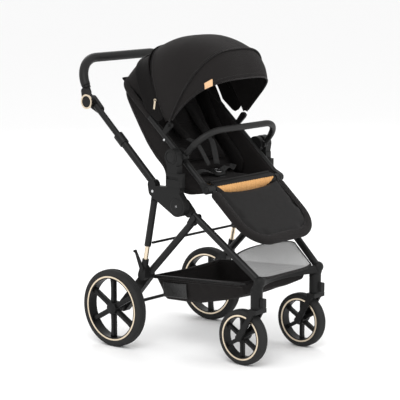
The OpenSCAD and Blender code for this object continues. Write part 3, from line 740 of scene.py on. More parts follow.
def visor_front(phi):
    """Front edge of the visor: far forward over the top, drawn back at the sides"""
    s = max(math.sin(phi), 0.0)
    return VISOR_EDGE + 9.0 * (1 - s ** 0.7)


def cheek_foot(angle):
    """Where the lower end of a cheek row lies on the seat tube"""
    along = float((HOOD - KNEE) @ ray(SEAT_ANGLE))
    s = float(np.interp(angle, [BACK_RIB, 123, 133, 141, CANOPY_BACK], [0.0, 0.025, 0.10, 0.185, 0.262]))
    return KNEE + ray(SEAT_ANGLE, along + s) + ray(SEAT_ANGLE + 90, 0.010)


def cheek_point(angle, phi, radius, half, power=3.4):
    """A canopy point whose lower end is drawn down onto the seat tube"""
    low = 0.016
    x, y, z = hood_point(angle, phi, radius, half, low, power)
    spot = np.array([y, z])
    r = float(np.linalg.norm(spot - HOOD))
    share = max(0.0, 1 - (r - low) / (radius - low))
    pull = min(1.0, (angle - BACK_RIB) / 4)
    spot = spot + (cheek_foot(angle) - HOOD - ray(180 - angle, low)) * share ** 1.3 * pull
    x = math.copysign(abs(x) - max(0.0, abs(x) - 0.2125) * share ** 4, x)
    return (x, spot[0], spot[1])


def closing_point(q, t):
    """A point of the panel that closes the canopy's back, drawn towards the top bar of the seat"""
    spot = np.array(q[1:])
    bar = KNEE + ray(SEAT_ANGLE, SEAT_LEN + 0.006) + ray(SEAT_ANGLE + 90, 0.004)
    yz = spot + (bar - spot) * t
    inward = math.copysign(min(abs(q[0]), 0.188), q[0])
    return (q[0] + (inward - q[0]) * t, yz[0] + 0.004 * math.sin(math.pi * t), yz[1])


def build_canopy():
    """Main panel, gusset, visor and rear panel with their pipings, stitches, tag and zip"""
    phis = arch_phis()
    side_half = HOOD_X - CLEAR
    visor_half = HOOD_X - 0.0038
    centre = (0.0, HOOD[0], HOOD[1])
    cloth_sheet("canopy_main_cloth", panel_rows(VISOR_SEAM - 0.5, BACK_RIB, 24, phis, 0.002), "fabric", "canopy",
                stands_for=("canopy_main",), inside=centre)
    side_phis = np.clip(phis, 0.012, math.pi - 0.012)
    rows = []
    for t in np.linspace(0, 1, 9):
        a = BACK_RIB + GUSSET_SPAN * t
        rows.append([cheek_point(a, p, hood_radius(a) - 0.0004 - 0.012 * math.sin(math.pi * t) * math.sin(p) ** 0.6,
                                 side_half) for p in side_phis])
    cloth_sheet("canopy_gusset_cloth", rows, "gusset", "canopy", inside=centre)
    rows = panel_rows(VISOR_SEAM + 1.5, visor_front, 20, side_phis, 0.0, visor_half, 0.0036)
    cloth_sheet("canopy_visor_cloth", rows, "fabric", "visor", stands_for=("canopy_visor",), inside=centre)
    back_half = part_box("canopy_rear")[1].x - CLEAR
    rows = [[cheek_point(a, p, hood_radius(a) + 0.0016, back_half) for p in side_phis]
            for a in np.linspace(BACK_SEAM, CANOPY_BACK, 12)]
    last = rows[-1]
    for t in np.linspace(0.12, 1, 8):
        rows.append([closing_point(q, t) for q in last])
    cloth_sheet("canopy_rear_cloth", rows, "fabric", "seat", stands_for=("canopy_rear",), inside=centre)
    edging("canopy_front_piping", rib_line(VISOR_SEAM, phis, 0.0012), 0.0026, "piping", "canopy")
    edging("canopy_middle_piping", rib_line(BACK_RIB, phis, 0.0006), 0.0019, "piping", "canopy")
    edging("canopy_back_piping", [cheek_point(BACK_SEAM, p, hood_radius(BACK_SEAM) + 0.0022, back_half + 0.0006)
                                  for p in side_phis], 0.0019, "piping", "seat")
    front = [hood_point(visor_front(p), p, hood_radius(visor_front(p)) - 0.0036, visor_half) for p in side_phis]
    edging("visor_edge_binding", front, 0.0028, "piping", "visor")
    hem = [hood_point(visor_front(p) + 2.2, p, hood_radius(visor_front(p) + 2.2) - 0.0028, visor_half + 0.0004)
           for p in np.linspace(0.5, math.pi - 0.5, 90)]
    beads("visor_hem_stitches", [hem], 0.0052, SEAM_STITCH, "thread", "visor")
    seams = [[hood_point(a, p, hood_radius(a) + 0.0006, side_half + 0.0004)
              for p in np.linspace(0.3, math.pi - 0.3, 120)] for a in (VISOR_SEAM + 2.0, BACK_RIB - 1.8)]
    beads("canopy_seam_stitches", seams, 0.0052, SEAM_STITCH, "thread", "canopy")
    teeth = [hood_point(ZIP_LINE, p, hood_radius(ZIP_LINE) - 0.0085, side_half + 0.0006)
             for p in np.linspace(0.25, math.pi - 0.25, 140)]
    beads("canopy_zip_teeth", [teeth], 0.003, (0.0011, 0.0019, 0.0008), "rod", "canopy")
    build_tag()
    build_zip_pull()


def tag_point(t, s, out, side):
    """A point of the tag: t up from the visor edge, s along it"""
    middle, wide, tall, bow = 2.34, 0.046, 0.018, 0.25
    phi = middle + s * wide / bow
    angle = visor_front(phi) + t * math.degrees(tall / bow)
    return hood_point(angle, phi, hood_radius(angle) + out, HOOD_X + side)


def build_tag():
    """A blank leather tag folded over the visor edge, with a stitched border"""
    rows = []
    for t in np.linspace(-0.15, 1, 14):
        row = []
        for s in np.linspace(-0.5, 0.5, 16):
            row.append(tag_point(t, s, -0.0008, -0.0012))
        rows.append(row)
    tag = surface("visor_tag", rows, inside=(0.0, HOOD[0], HOOD[1]))
    thicken(tag, 0.0016, 0.0)
    bevel = tag.modifiers.new("edge", "BEVEL")
    bevel.width, bevel.segments, bevel.limit_method = 0.0005, 2, "ANGLE"
    wear(settle(tag), "tag", "visor")
    border = [(0.08, -0.42), (0.08, 0.42), (0.9, 0.42), (0.9, -0.42), (0.08, -0.42)]
    line = []
    for (t0, s0), (t1, s1) in zip(border[:-1], border[1:]):
        for k in np.linspace(0, 1, 12):
            line.append(tag_point(t0 + (t1 - t0) * k, s0 + (s1 - s0) * k, 0.0002, -0.0004))
    beads("visor_tag_stitches", [line], 0.0034, (0.0004, 0.0004, 0.0011), "bright_thread", "visor")


def build_zip_pull():
    """A small metal pull hanging from the end of the canopy zip"""
    start = np.array(hood_point(ZIP_LINE, math.pi - 0.18, 0.30, HOOD_X + 0.002))
    drop = [start + np.array([-0.0014, 0.001 * k, -0.0072 * k]) for k in range(5)]
    bar = sweep("pull_bar", drop, soft_rect(0.0075, 0.0028), up=(0, 1, 0))
    ring = [start + np.array([-0.001, 0.0045 * math.cos(a), 0.004 + 0.0045 * math.sin(a)])
            for a in np.linspace(0, 2 * math.pi, 20)]
    loop = sweep("pull_ring", ring, circle(0.0011, 8), up=(1, 0, 0), closed_ends=False)
    wear(join("canopy_zip_pull", [bar, loop]), "trim", "canopy")


# ---- seat ----

SEAT_OUTER = np.array([[-84, -128], [-40, -136], [3, -139], [77, -118], [105, -61], [152, -16], [199, 44], [280, 173],
                       [300, 226]]) / 1000
SEAT_INNER = np.array([[-98, -111], [-35, -117], [50, -109], [82, -62], [130, -8], [178, 52], [257, 180],
                       [277, 228]]) / 1000
ALONG_TUBE = np.array([0.012, 0.055, 0.110, 0.190, 0.240, 0.300, 0.370, 0.480, 0.531])
SHELL_BEND = 0.055
PAD_HALF = 0.148
PAD_WALL = 0.013
PAD_LIFT = 0.002
WING_X = 0.164


def tube_half(d, half=SHELL_X, bend=SHELL_BEND):
    """Half width of the shell's top edge, following the corners of the seat frame"""
    over = d - (SEAT_LEN - 0.010 - bend)
    if over <= 0:
        return half
    over = min(over, bend)
    return half - bend + math.sqrt(max(bend * bend - over * over, 0.0))


def build_seat_shell():
    """Fabric shell hung from the seat frame, with piped edges and the cover of the tube"""
    outer = smooth_path(HUB + SEAT_OUTER, 6)
    along = np.interp(np.linspace(0, len(ALONG_TUBE) - 1, len(outer)), range(len(ALONG_TUBE)), ALONG_TUBE)
    rows = []
    for low, d in zip(outer, along):
        top = KNEE + ray(SEAT_ANGLE, d) + ray(SEAT_ANGLE + 90, 0.002)
        deep = low - top
        depth = float(np.linalg.norm(deep))
        deep = deep / max(depth, 1e-6)
        half = tube_half(d)
        bend = min(0.020, depth * 0.5)
        flat = [(half, 0.0)]
        flat += [(half - 0.004 * math.sin(math.pi * t), t * (depth - bend)) for t in np.linspace(0.12, 1, 8)]
        flat += [(half - bend + bend * math.cos(a), depth - bend + bend * math.sin(a))
                 for a in np.linspace(0.15, math.pi / 2, 7)]
        flat += [((half - bend) * (1 - t), depth - 0.003 * math.sin(math.pi * t / 2)) for t in np.linspace(0.2, 1, 5)]
        flat = flat + [(-x, v) for x, v in flat[-2::-1]]
        flat = spaced(flat, 57)
        rows.append([(x, *(top + deep * v)) for x, v in flat])
    bar = KNEE + ray(SEAT_ANGLE, SEAT_LEN + 0.008) + ray(SEAT_ANGLE + 90, 0.002)
    for t in (0.5, 1.0):
        rows.append([(x * (1 - 0.06 * t), y + (bar[0] - y) * t, z + (bar[1] - z) * t) for x, y, z in rows[-1]])
    inside = (0.0, *(HUB + np.array([0.05, 0.05])))
    cloth_sheet("seat_shell_cloth", rows, "fabric", "seat", 0.003, stands_for=("seat_shell",), inside=inside)
    flat = [(SHELL_X, d) for d in np.linspace(0.012, SEAT_LEN - 0.066, 24)]
    corner = [(SHELL_X - SHELL_BEND + SHELL_BEND * math.cos(a), SEAT_LEN - 0.066 + SHELL_BEND * math.sin(a))
              for a in np.linspace(0.1, math.pi / 2, 10)]
    right = flat + corner
    line = lifted(right + [(-x, d) for x, d in right[::-1]], KNEE, SEAT_ANGLE, 0.0035)
    edging("seat_edge_piping", line, 0.0026, "piping", "seat")
    tube = lifted(u_path(SEAT_X, 0.352, SEAT_LEN, 0.060, 16), KNEE, SEAT_ANGLE)
    wear(sweep("seat_tube_cover", spaced(tube, 90), circle(0.0112, 20), up=ray3(SEAT_ANGLE + 90)), "fabric", "seat")
    hem = lifted([(SHELL_X + 0.0006, d) for d in np.linspace(0.03, SEAT_LEN - 0.08, 30)], KNEE, SEAT_ANGLE, -0.008)
    other = hem * np.array([-1, 1, 1])
    beads("seat_edge_stitches", [hem, other], 0.0056, HEM_STITCH, "thread", "seat")
    seam = [(SHELL_X * 0.999, *(q + np.array([-0.012, 0.016]))) for q in smooth_path(HUB + SEAT_OUTER[1:8], 6)]
    both = [seam, [(-x, y, z) for x, y, z in seam]]
    pieces = [sweep(f"side_seam_{n}", s, circle(0.0018, 8)) for n, s in enumerate(both)]
    wear(join("seat_side_seams", pieces), "piping", "seat")


def pad_body(name, path, half, wall, lift=0.0):
    """A closed soft slab that follows a side view path"""
    p = np.asarray(path, float)
    p = np.concatenate([np.zeros((len(p), 1)), p], axis=1)
    t = np.gradient(p, axis=0)
    t /= np.linalg.norm(t, axis=1, keepdims=True)
    normal = np.stack([np.zeros(len(t)), -t[:, 2], t[:, 1]], axis=1)
    outline = soft_rect(2 * half, wall, 6.0, 72)
    rows = []
    for k, (q, n) in enumerate(zip(p, normal)):
        end = min(k, len(p) - 1 - k)
        round_end = min(1.0, 0.55 + 0.45 * end / 2)
        rows.append([q + n * (lift + wall / 2 + v * round_end) + np.array([u * (0.985 if end == 0 else 1.0), 0, 0])
                     for u, v in outline])
    return cleaned(surface(name, rows, loop=True), fill=True)


def build_seat_pads():
    """Padded base, back and side wings of the seat"""
    inner = HUB + SEAT_INNER
    path = spaced(smooth_path(inner, 8), 60)
    base = pad_body("seat_base_pad", path[4:22], PAD_HALF, PAD_WALL, PAD_LIFT)
    inflate(base, 0.006, 4.0, 0.006)
    wear(base, "pad", "seat", ("seat_liner",))
    back = pad_body("seat_back_pad", path[23:57], PAD_HALF, PAD_WALL, PAD_LIFT)
    inflate(back, 0.006, 4.0, 0.007)
    up = ray(52.0)
    forward = np.array([0.0, -up[1], up[0]])
    start = np.array([0.0, *path[23]])
    channel = 0.075
    press_lines(back, lambda co: ((co - start) @ np.array([0.0, *up]) + 0.03) % channel - channel / 2, 0.004, 0.004,
                forward)
    wear(back, "pad", "seat")
    wings = []
    for side in (1, -1):
        wing = pad_body(f"side_wing_{side}", path[14:54], 0.012, 0.052, 0.0)
        for v in wing.data.vertices:
            v.co.x = side * (WING_X + v.co.x * 0.6)
        wings.append(cleaned(wing))
    sides = join("seat_side_wings", wings)
    inflate(sides, 0.006, 3.0, 0.006)
    wear(sides, "pad", "seat")


def front_flap(name, profile, start, end):
    """Smooth leatherette over part of the seat's front, between two limits that vary from the middle to the sides"""
    half = 0.166
    rows = []
    for x in np.linspace(-half, half, 61):
        side = abs(x) / half
        row = []
        for k in np.linspace(start(side), end(side) + 1e-3, 12) * (len(profile) - 1):
            a = int(min(k, len(profile) - 2))
            q = profile[a] + (profile[a + 1] - profile[a]) * (k - a)
            row.append((x, *(q + ray(150 + 50 * k / len(profile), 0.0042))))
        rows.append(row)
    flap = surface(name, rows, inside=(0.0, *(HUB + np.array([-0.06, -0.11]))))
    thicken(flap, 0.003)
    wear(flap, "panel", "seat")


def build_quilt(sizes):
    """The tan quilted front edge of the seat, puffed between upright seams"""
    pitch = sizes.quilt_pitch
    profile = spaced(smooth_path([[-0.150, 0.6155], [-0.172, 0.6150], [-0.1885, 0.606], [-0.1935, 0.592],
                                  [-0.190, 0.577], [-0.180, 0.563]], 8), 22)
    shift = HUB - np.array([-0.0704, 0.708])
    rows = []
    for q in profile + shift:
        row = []
        for x in np.linspace(-0.160, 0.160, 231):
            puff = abs(math.sin(math.pi * x / pitch)) ** 0.55 * 0.0036
            row.append((x, q[0] - puff * 0.9, q[1] + puff * 0.25))
        rows.append(row)
    quilt = surface("seat_front_quilt", rows, inside=(0.0, *(HUB + np.array([-0.06, -0.11]))))
    thicken(quilt, 0.004)
    wear(quilt, "quilt", "seat")
    seams = [[(x, q[0] - 0.0006, q[1] + 0.0004) for q in (profile + shift)[3:19]]
             for x in np.arange(-11, 12) * pitch]
    beads("quilt_stitches", seams, 0.0034, (0.0004, 0.0004, 0.0012), "bright_thread", "seat")
    front_flap("seat_front_flap", profile + shift, lambda side: 0.0, lambda side: 0.44)
    front_flap("seat_front_apron", profile + shift, lambda side: 1.0 - 0.62 * side ** 2.6, lambda side: 1.0)
    lip = [(x, *(profile[2] + shift + np.array([-0.0035 - 0.004 * math.cos(x * 9.5), 0.0028]))) for x in
           np.linspace(-0.162, 0.162, 40)]
    edging("seat_front_binding", lip, 0.0052, "panel", "seat")


def strap(name, path, width, wall, normal, body="seat"):
    """A flat strap with soft edges"""
    line = smooth_path(path, 8)
    piece = sweep(name, line, soft_rect(wall, width, 4.0, 20), up=normal)
    return wear(piece, "webbing", body)


def build_harness():
    """Shoulder, waist and crotch straps with their pads and the buckle"""
    inner = HUB + SEAT_INNER
    path = spaced(smooth_path(inner, 8), 60)
    away = ray(SEAT_ANGLE + 98, 0.021)
    buckle = HUB + np.array([0.010, -0.084])
    tilt, button_r = 20, 0.0125
    for side, label in ((1, "left"), (-1, "right")):
        shoulder = path[48] + away * 0.85
        points = [(side * 0.062, *shoulder), (side * 0.064, *(path[43] + away * 1.3)),
                  (side * 0.062, *(path[37] + away * 1.7)), (side * 0.054, *(path[31] + away * 2.4)),
                  (side * 0.040, *(path[27] + away * 3.0)),
                  (side * 0.022, *(buckle + np.array([0.020, 0.028])))]
        strap(f"shoulder_strap_{label}", points, 0.026, 0.0022, (0, -0.7, 0.7))
        cover = smooth_path([(x, y - 0.001, z + 0.001) for x, y, z in points[0:4]], 10)
        size = np.ones((len(cover), 2))
        size[0] = size[-1] = 0.6
        size[1] = size[-2] = 0.9
        pad = sweep(f"shoulder_pad_{label}", cover, soft_rect(0.013, 0.046, 3.4, 40), up=(0, -0.7, 0.7), size=size)
        inflate(pad, 0.0045, 3.0, 0.003)
        wear(pad, "pad", "seat", ("harness",) if side > 0 else ())
        points = [(side * 0.146, *(path[19] + away * 0.9)), (side * 0.110, *(path[17] + away * 1.3)),
                  (side * 0.066, *(buckle + np.array([0.012, 0.014]))),
                  (side * 0.026, *(buckle + np.array([0.004, 0.003])))]
        strap(f"waist_strap_{label}", points, 0.024, 0.0022, (0, -0.3, 1))
    strap("crotch_strap", [(0.0, *(path[7] + away * 0.5)), (0.0, *(path[9] + away * 0.9)),
                           (0.0, *(buckle + np.array([-0.022, -0.010])))], 0.026, 0.0024, (0, 0.2, 1))
    shell = sweep("buckle_shell", [(0.0, *(buckle + ray(tilt, s) + ray(tilt + 90, 0.001))) for s in
                                   (-0.0245, -0.022, -0.015, 0.0, 0.015, 0.022, 0.0245)],
                  soft_rect(0.056, 0.015, 3.6, 40), up=(1, 0, 0),
                  size=[(0.55, 0.5), (0.82, 0.8), (0.97, 1.0), (1, 1), (0.97, 1.0), (0.82, 0.8), (0.55, 0.5)])
    wear(shell, "casting", "seat")
    ring = [(button_r * math.cos(a), *(buckle + ray(tilt, button_r * math.sin(a)) + ray(tilt + 90, 0.0092)))
            for a in np.linspace(0, 2 * math.pi, 33)]
    button_ring = sweep("buckle_ring", ring, circle(0.0012, 8), up=ray3(tilt + 90), closed_ends=False)
    wear(button_ring, "steel", "seat")


def ray3(degrees):
    """A direction in the side view as a 3D vector"""
    return np.array([0.0, *ray(degrees)])


# ---- legrest ----

def legrest_outline(inset, dip):
    """Outline of the legrest panel: a U with a curved top edge"""
    half = SEAT_X - 0.0306 - inset + 0.010
    reach = legrest_length() - inset
    u = u_path(half, 0.006, reach, 0.098 - inset * 0.5, 18)
    top = [(-half + 2 * half * t, 0.006 + dip * math.sin(math.pi * t) ** 0.8) for t in np.linspace(0, 1, 30)[1:-1]]
    return np.array(list(u) + top)


def legrest_length():
    """Length of the legrest from the knee joint to its end"""
    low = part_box("legrest_frame")[0]
    return float((np.array([low.y, low.z]) - KNEE) @ ray(SEAT_ANGLE + 180)) - 0.003


def plate(name, outline, origin, degrees, low, high):
    """A flat slab from an outline on a tilted plane"""
    bottom = lifted(outline, origin, degrees, low)
    top = lifted(outline, origin, degrees, high)
    b = bmesh.new()
    a = [b.verts.new(q) for q in bottom]
    c = [b.verts.new(q) for q in top]
    b.faces.new(a)
    b.faces.new(c[::-1])
    for i in range(len(a)):
        j = (i + 1) % len(a)
        b.faces.new((a[i], c[i], c[j], a[j]))
    bmesh.ops.recalc_face_normals(b, faces=b.faces)
    mesh = bpy.data.meshes.new(name)
    b.to_mesh(mesh)
    b.free()
    return placed(name, mesh)


def build_legrest():
    """Padded panel, soft rim, seam and stitches of the legrest"""
    down = SEAT_ANGLE + 180
    panel = plate("legrest_panel", legrest_outline(0.006, 0.020), KNEE, down, -0.006, 0.004)
    inflate(panel, 0.0055, 4.0, 0.006)
    wear(panel, "panel", "legrest", ("legrest_pad",))
    half = SEAT_X - 0.0204
    reach = legrest_length()
    line = lifted(u_path(half, 0.020, reach - 0.004, 0.097, 22), KNEE, down, 0.001)
    line = spaced(line, 110)
    size = np.ones((len(line), 2))
    size[0] = size[-1] = 0.8
    rim = sweep("legrest_rim", line, soft_rect(0.026, 0.032, 2.6, 28), up=ray3(down + 90), size=size)
    wear(rim, "fabric", "legrest")
    seam = lifted(u_path(half - 0.0145, 0.024, reach - 0.0185, 0.084, 22), KNEE, down, -0.0072)
    edging("legrest_seam", seam, 0.0022, "piping", "legrest")
    hem = lifted(u_path(half - 0.0095, 0.026, reach - 0.0135, 0.090, 30), KNEE, down, -0.0108)
    beads("legrest_stitches", [spaced(hem, 160)], 0.0056, (0.00045, 0.00045, 0.0018), "thread", "legrest")


# ---- bars ----

SLEEVE_R = 0.0114
GRIP_R = 0.0168


def build_bumper():
    """Leatherette sleeve with a stitched seam, end caps and snap-in lugs"""
    rise = SEAT_ANGLE + 90
    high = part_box("bumper_bar")[1]
    half = high.x - 0.0115
    reach = float(max((np.array([q.co.y, q.co.z]) - BUMPER) @ ray(rise) for q in
                      frame["nodes"]["bumper_bar"].data.vertices)) - 0.0115
    bend = 0.78 * reach
    whole = spaced(lifted(u_path(half, 0.016, reach, bend, 40), BUMPER, rise), 241)
    step = float(np.linalg.norm(whole[1] - whole[0]))
    cap = int(0.036 / step)
    off = ray3(rise + 90)
    sleeve = sweep("bumper_sleeve", whole[cap:-cap], circle(SLEEVE_R, 28), up=off)
    wear(sleeve, "sleeve", "bumper")
    inner = lifted(u_path(half - SLEEVE_R, 0.020, reach - SLEEVE_R, bend - SLEEVE_R, 40), BUMPER, rise)
    inner = spaced(inner, 241)[cap:-cap]
    beads("bumper_stitches", [inner + off * 0.0012, inner - off * 0.0012], 0.0052, (0.0005, 0.0005, 0.0018), "thread",
          "bumper")
    caps = []
    for side, end in ((1, whole[:cap + 2]), (-1, whole[::-1][:cap + 2])):
        size = np.ones((len(end), 2))
        size[0], size[1], size[-2], size[-1] = 0.86, 0.97, 1.07, 0.98
        caps.append(sweep(f"cap_{side}", end, circle(0.0106, 28), up=off, size=size))
        lug = [(side * x, *BUMPER) for x in (0.2207, 0.2215, 0.2300, 0.2312)]
        caps.append(sweep(f"lug_{side}", lug, circle(0.0112, 28), up=(0, 1, 0),
                          size=[(0.94, 0.94), (1, 1), (1, 1), (0.94, 0.94)]))
    wear(join("bumper_ends", caps), "casting", "bumper", ("bumper_bar",))


def build_grip():
    """Leatherette handle grip with end collars and a stitched seam on the inside of the bend"""
    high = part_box("handle_grip")[1]
    half = high.x - 0.017
    reach = float(max((np.array([q.co.y, q.co.z]) - HANDLE) @ ray(HANDLE_ANGLE) for q in
                      frame["nodes"]["handle_grip"].data.vertices)) - 0.017
    bend = 0.6 * reach
    path = spaced(lifted(u_path(half, 0.060, reach, bend, 30), HANDLE, HANDLE_ANGLE), 150)
    size = np.ones((len(path), 2))
    size[0] = size[-1] = 0.93
    grip = sweep("grip_sleeve", path, circle(GRIP_R, 32), up=ray3(HANDLE_ANGLE + 90), size=size)
    wear(grip, "sleeve", "handle", ("handle_grip",))
    inner = lifted(u_path(half - GRIP_R, 0.066, reach - GRIP_R, bend - GRIP_R, 30), HANDLE, HANDLE_ANGLE)
    inner = spaced(inner, 150)
    off = ray3(HANDLE_ANGLE + 90)
    beads("grip_stitches", [inner + off * 0.0016, inner - off * 0.0016], 0.0058, (0.0006, 0.0006, 0.0021), "thread",
          "handle")
    rings = []
    for side in (1, -1):
        leg = [(side * half, *(HANDLE + ray(HANDLE_ANGLE, s))) for s in (0.0500, 0.0508, 0.0590, 0.0600)]
        rings.append(sweep(f"collar_{side}", leg, circle(0.0150, 32), up=off,
                           size=[(0.95, 0.95), (1, 1), (1, 1), (0.95, 0.95)]))
    wear(join("grip_end_collars", rings), "casting", "handle")


# ---- basket and mesh ----

END_ROWS = 6


def build_basket():
    """Hanging fabric tub with hems along its rim and a coated patch"""
    low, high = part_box("basket")
    co = np.array([v.co for v in frame["nodes"]["basket"].data.vertices])
    rim_z = high.z
    stations = 44
    ys = np.linspace(low.y + 0.002, high.y - 0.002, stations)
    rows = []
    for y in ys:
        t = (y - low.y) / (high.y - low.y)
        top = np.interp(t, [0, 1], [basket_rim(co, low.y), basket_rim(co, high.y)])
        floor = basket_floor(co, y)
        depth = top - floor
        half = high.x - 0.0015
        bend = min(0.030, depth * 0.45)
        points = [(half, top)]
        for s in np.linspace(0.1, 1, 9):
            ripple = 0.0024 * math.sin(t * 31 + 5 * s) * math.sin(math.pi * s) + 0.0012 * math.sin(t * 77 + 9 * s)
            points.append((half - 0.003 - 0.010 * s * s - abs(ripple), top - (depth - bend) * s))
        base = half - 0.013
        points += [(base - bend + bend * math.cos(a), top - depth + bend - bend * math.sin(a))
                   for a in np.linspace(0.2, math.pi / 2, 6)]
        sag = 0.006 * math.sin(math.pi * min(max(t, 0), 1))
        points += [((base - bend) * (1 - s), top - depth - sag * s + 0.0012 * math.sin(t * 40 + 6 * s))
                   for s in np.linspace(0.15, 1, 7)]
        points = spaced(points + [(-x, z) for x, z in points[-2::-1]], 81)
        rows.append([(x, y, z) for x, z in points])
    inside = (0.0, (low.y + high.y) / 2, rim_z)
    rows = end_wall(rows[0], END_ROWS, -0.001)[::-1] + rows + end_wall(rows[-1], END_ROWS, 0.001)
    cloth_sheet("basket_bag", rows, "fabric", "chassis_front", 0.0018, stands_for=("basket",), inside=inside)
    rim = [rows[END_ROWS][0], *[r[0] for r in rows[END_ROWS + 1:-END_ROWS:3]], rows[-END_ROWS - 1][0]]
    other = [(-x, y, z) for x, y, z in rim]
    ends = [[rim[k], (0, rim[k][1], rim[k][2] - 0.006), other[k]] for k in (0, -1)]
    hems = [sweep(f"hem_{n}", line, soft_rect(0.013, 0.0065, 3.0, 16)) for n, line in enumerate((rim, other, *ends))]
    wear(join("basket_hem", hems), "piping", "chassis_front")
    lines = [[(x * 1.004 + 0.0006 * np.sign(x), y, z - 0.0115) for x, y, z in line] for line in (rim, other)]
    beads("basket_stitches", lines, 0.0058, HEM_STITCH, "thread", "chassis_front")
    patch = []
    for s in np.linspace(0, 1, 8):
        row = []
        for t in np.linspace(0.62, 0.62 + 0.27, 20):
            station = rows[int(np.clip(END_ROWS + t * stations, END_ROWS, len(rows) - END_ROWS - 2))]
            x = -(high.x + 0.0006 - 0.006 * s ** 2)
            row.append((x, low.y + (high.y - low.y) * t, station[3 + int(round(s * 9))][2]))
        patch.append(row)
    piece = surface("basket_patch", patch, inside=inside)
    thicken(piece, 0.0012)
    wear(piece, "gloss", "chassis_front")


def end_wall(row, count, step):
    """Closes the end of the basket by drawing the section in towards its rim line"""
    made = []
    r = np.array(row, float)
    top = r[:, 2].max()
    for k in range(1, count + 1):
        t = k / count
        spot = r.copy()
        spot[:, 2] = r[:, 2] + (top - 0.004 - r[:, 2]) * t * 0.999
        spot[:, 1] = r[:, 1] + step * k * 0.3
        spot[:, 0] = r[:, 0] * (1 - 0.002 * t)
        made.append([tuple(q) for q in spot])
    return made


def basket_rim(co, y):
    """Height of the basket's rim at a place along it"""
    near = co[np.abs(co[:, 1] - y) < 0.02]
    return float(near[:, 2].max()) if len(near) else float(co[:, 2].max())


def basket_floor(co, y):
    """Lowest point of the basket's outline at a place along it"""
    outline = co[np.abs(np.abs(co[:, 0]) - np.abs(co[:, 0]).max()) < 1e-4][:, 1:]
    points = sorted({(round(float(a), 5), round(float(b), 5)) for a, b in outline})
    rim = max(b for a, b in points)
    lower = {}
    for a, b in points:
        lower[a] = min(b, lower.get(a, 9.0))
    keys = [k for k in sorted(lower) if k <= max(points)[0]]
    return float(np.interp(y, keys, [min(lower[k], rim) for k in keys]))


def build_mesh_panel():
    """Grey net between the front legs with an arched, bound edge"""
    co = np.array([v.co for v in frame["nodes"]["front_leg_left"].data.vertices])
    down = FOLD - np.array([co[:, 1].min(), co[co[:, 1].argmin(), 2]])
    degrees = math.degrees(math.atan2(down[1], down[0]))
    net_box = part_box("footwell_mesh")
    base = np.array([net_box[0].y, net_box[0].z]) - ray(degrees, 0.020)
    half_low, half_top = 0.150, net_box[1].x - 0.001
    reach = float(np.linalg.norm(np.array([net_box[1].y, net_box[1].z]) - base)) - 0.004
    rows = []
    for t in np.linspace(0, 1, 24):
        half = half_low + (half_top - half_low) * t
        row = []
        for s in np.linspace(-1, 1, 49):
            arch = 0.80 + 0.20 * (1 - s * s) ** 0.5 if t > 0 else 1.0
            foot = 0.012 * (abs(s) ** 6)
            dip = -0.002 - 0.004 * (1 - s * s) * math.sin(math.pi * t)
            yz = base + ray(degrees, foot + (reach - foot) * t * arch) + ray(degrees + 90, dip)
            row.append((half * s, yz[0], yz[1]))
        rows.append(row)
    cloth_sheet("footwell_net", rows, "mesh", "chassis_front", 0.0010, ("footwell_mesh",),
                inside=(0.0, *(base + np.array([0.2, -0.2]))))
    rim = rows[0] + [row[-1] for row in rows[1:]] + rows[-1][-2::-1] + [row[0] for row in rows[-2::-1]]
    binding = sweep("footwell_binding", rim, soft_rect(0.010, 0.0036, 3.0, 12), up=(0, 0.5, 1), closed_ends=False)
    wear(binding, "piping", "chassis_front")


# ---- wheels and fittings ----

TYRE_CROWN = (
    (0.0, 1.0), (0.10, 0.9995), (0.16, 0.999), (0.19, 0.988), (0.23, 0.988), (0.26, 0.996), (0.44, 0.985),
    (0.52, 0.975), (0.555, 0.955), (0.60, 0.955), (0.64, 0.958), (0.80, 0.90), (0.92, 0.80), (0.985, 0.62),
    (1.0, 0.42), (0.99, 0.22), (0.955, 0.20), (0.95, 0.06), (0.93, 0.0))


def build_tyres(sizes):
    """Tyres with a crown, two grooves and rounded shoulders"""
    for axle, centre, bodies in (("front", FRONT, "front_wheel"), ("rear", REAR, "rear_wheel")):
        for side in ("left", "right"):
            node = f"{axle}_tyre_{side}"
            low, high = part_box(node)
            r, wide, x = (high.z - low.z) / 2, high.x - low.x, (high.x + low.x) / 2
            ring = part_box(f"{axle}_trim_{side}")
            base = (ring[1].z - ring[0].z) / 2
            outer = []
            for w, h in TYRE_CROWN:
                groove = sizes.groove_depth if 0.985 < h < 0.99 and w < 0.25 else 0.0
                outer.append((base + (r - base) * (h if h < 0.999 else 1.0) - groove, wide / 2 * w))
            outline = outer + [(height, -across) for height, across in outer[::-1][:-1]]
            skin = lathe(f"{axle}_tyre_skin_{side}", outline + [outline[0]], x, centre, 120)
            wear(skin, "tyre", f"{bodies}_{side}", (node,))


SPOKE_TAPER = (1.35, 1.2, 1.08, 1.0, 0.98, 1.0, 1.08, 1.25, 1.55)


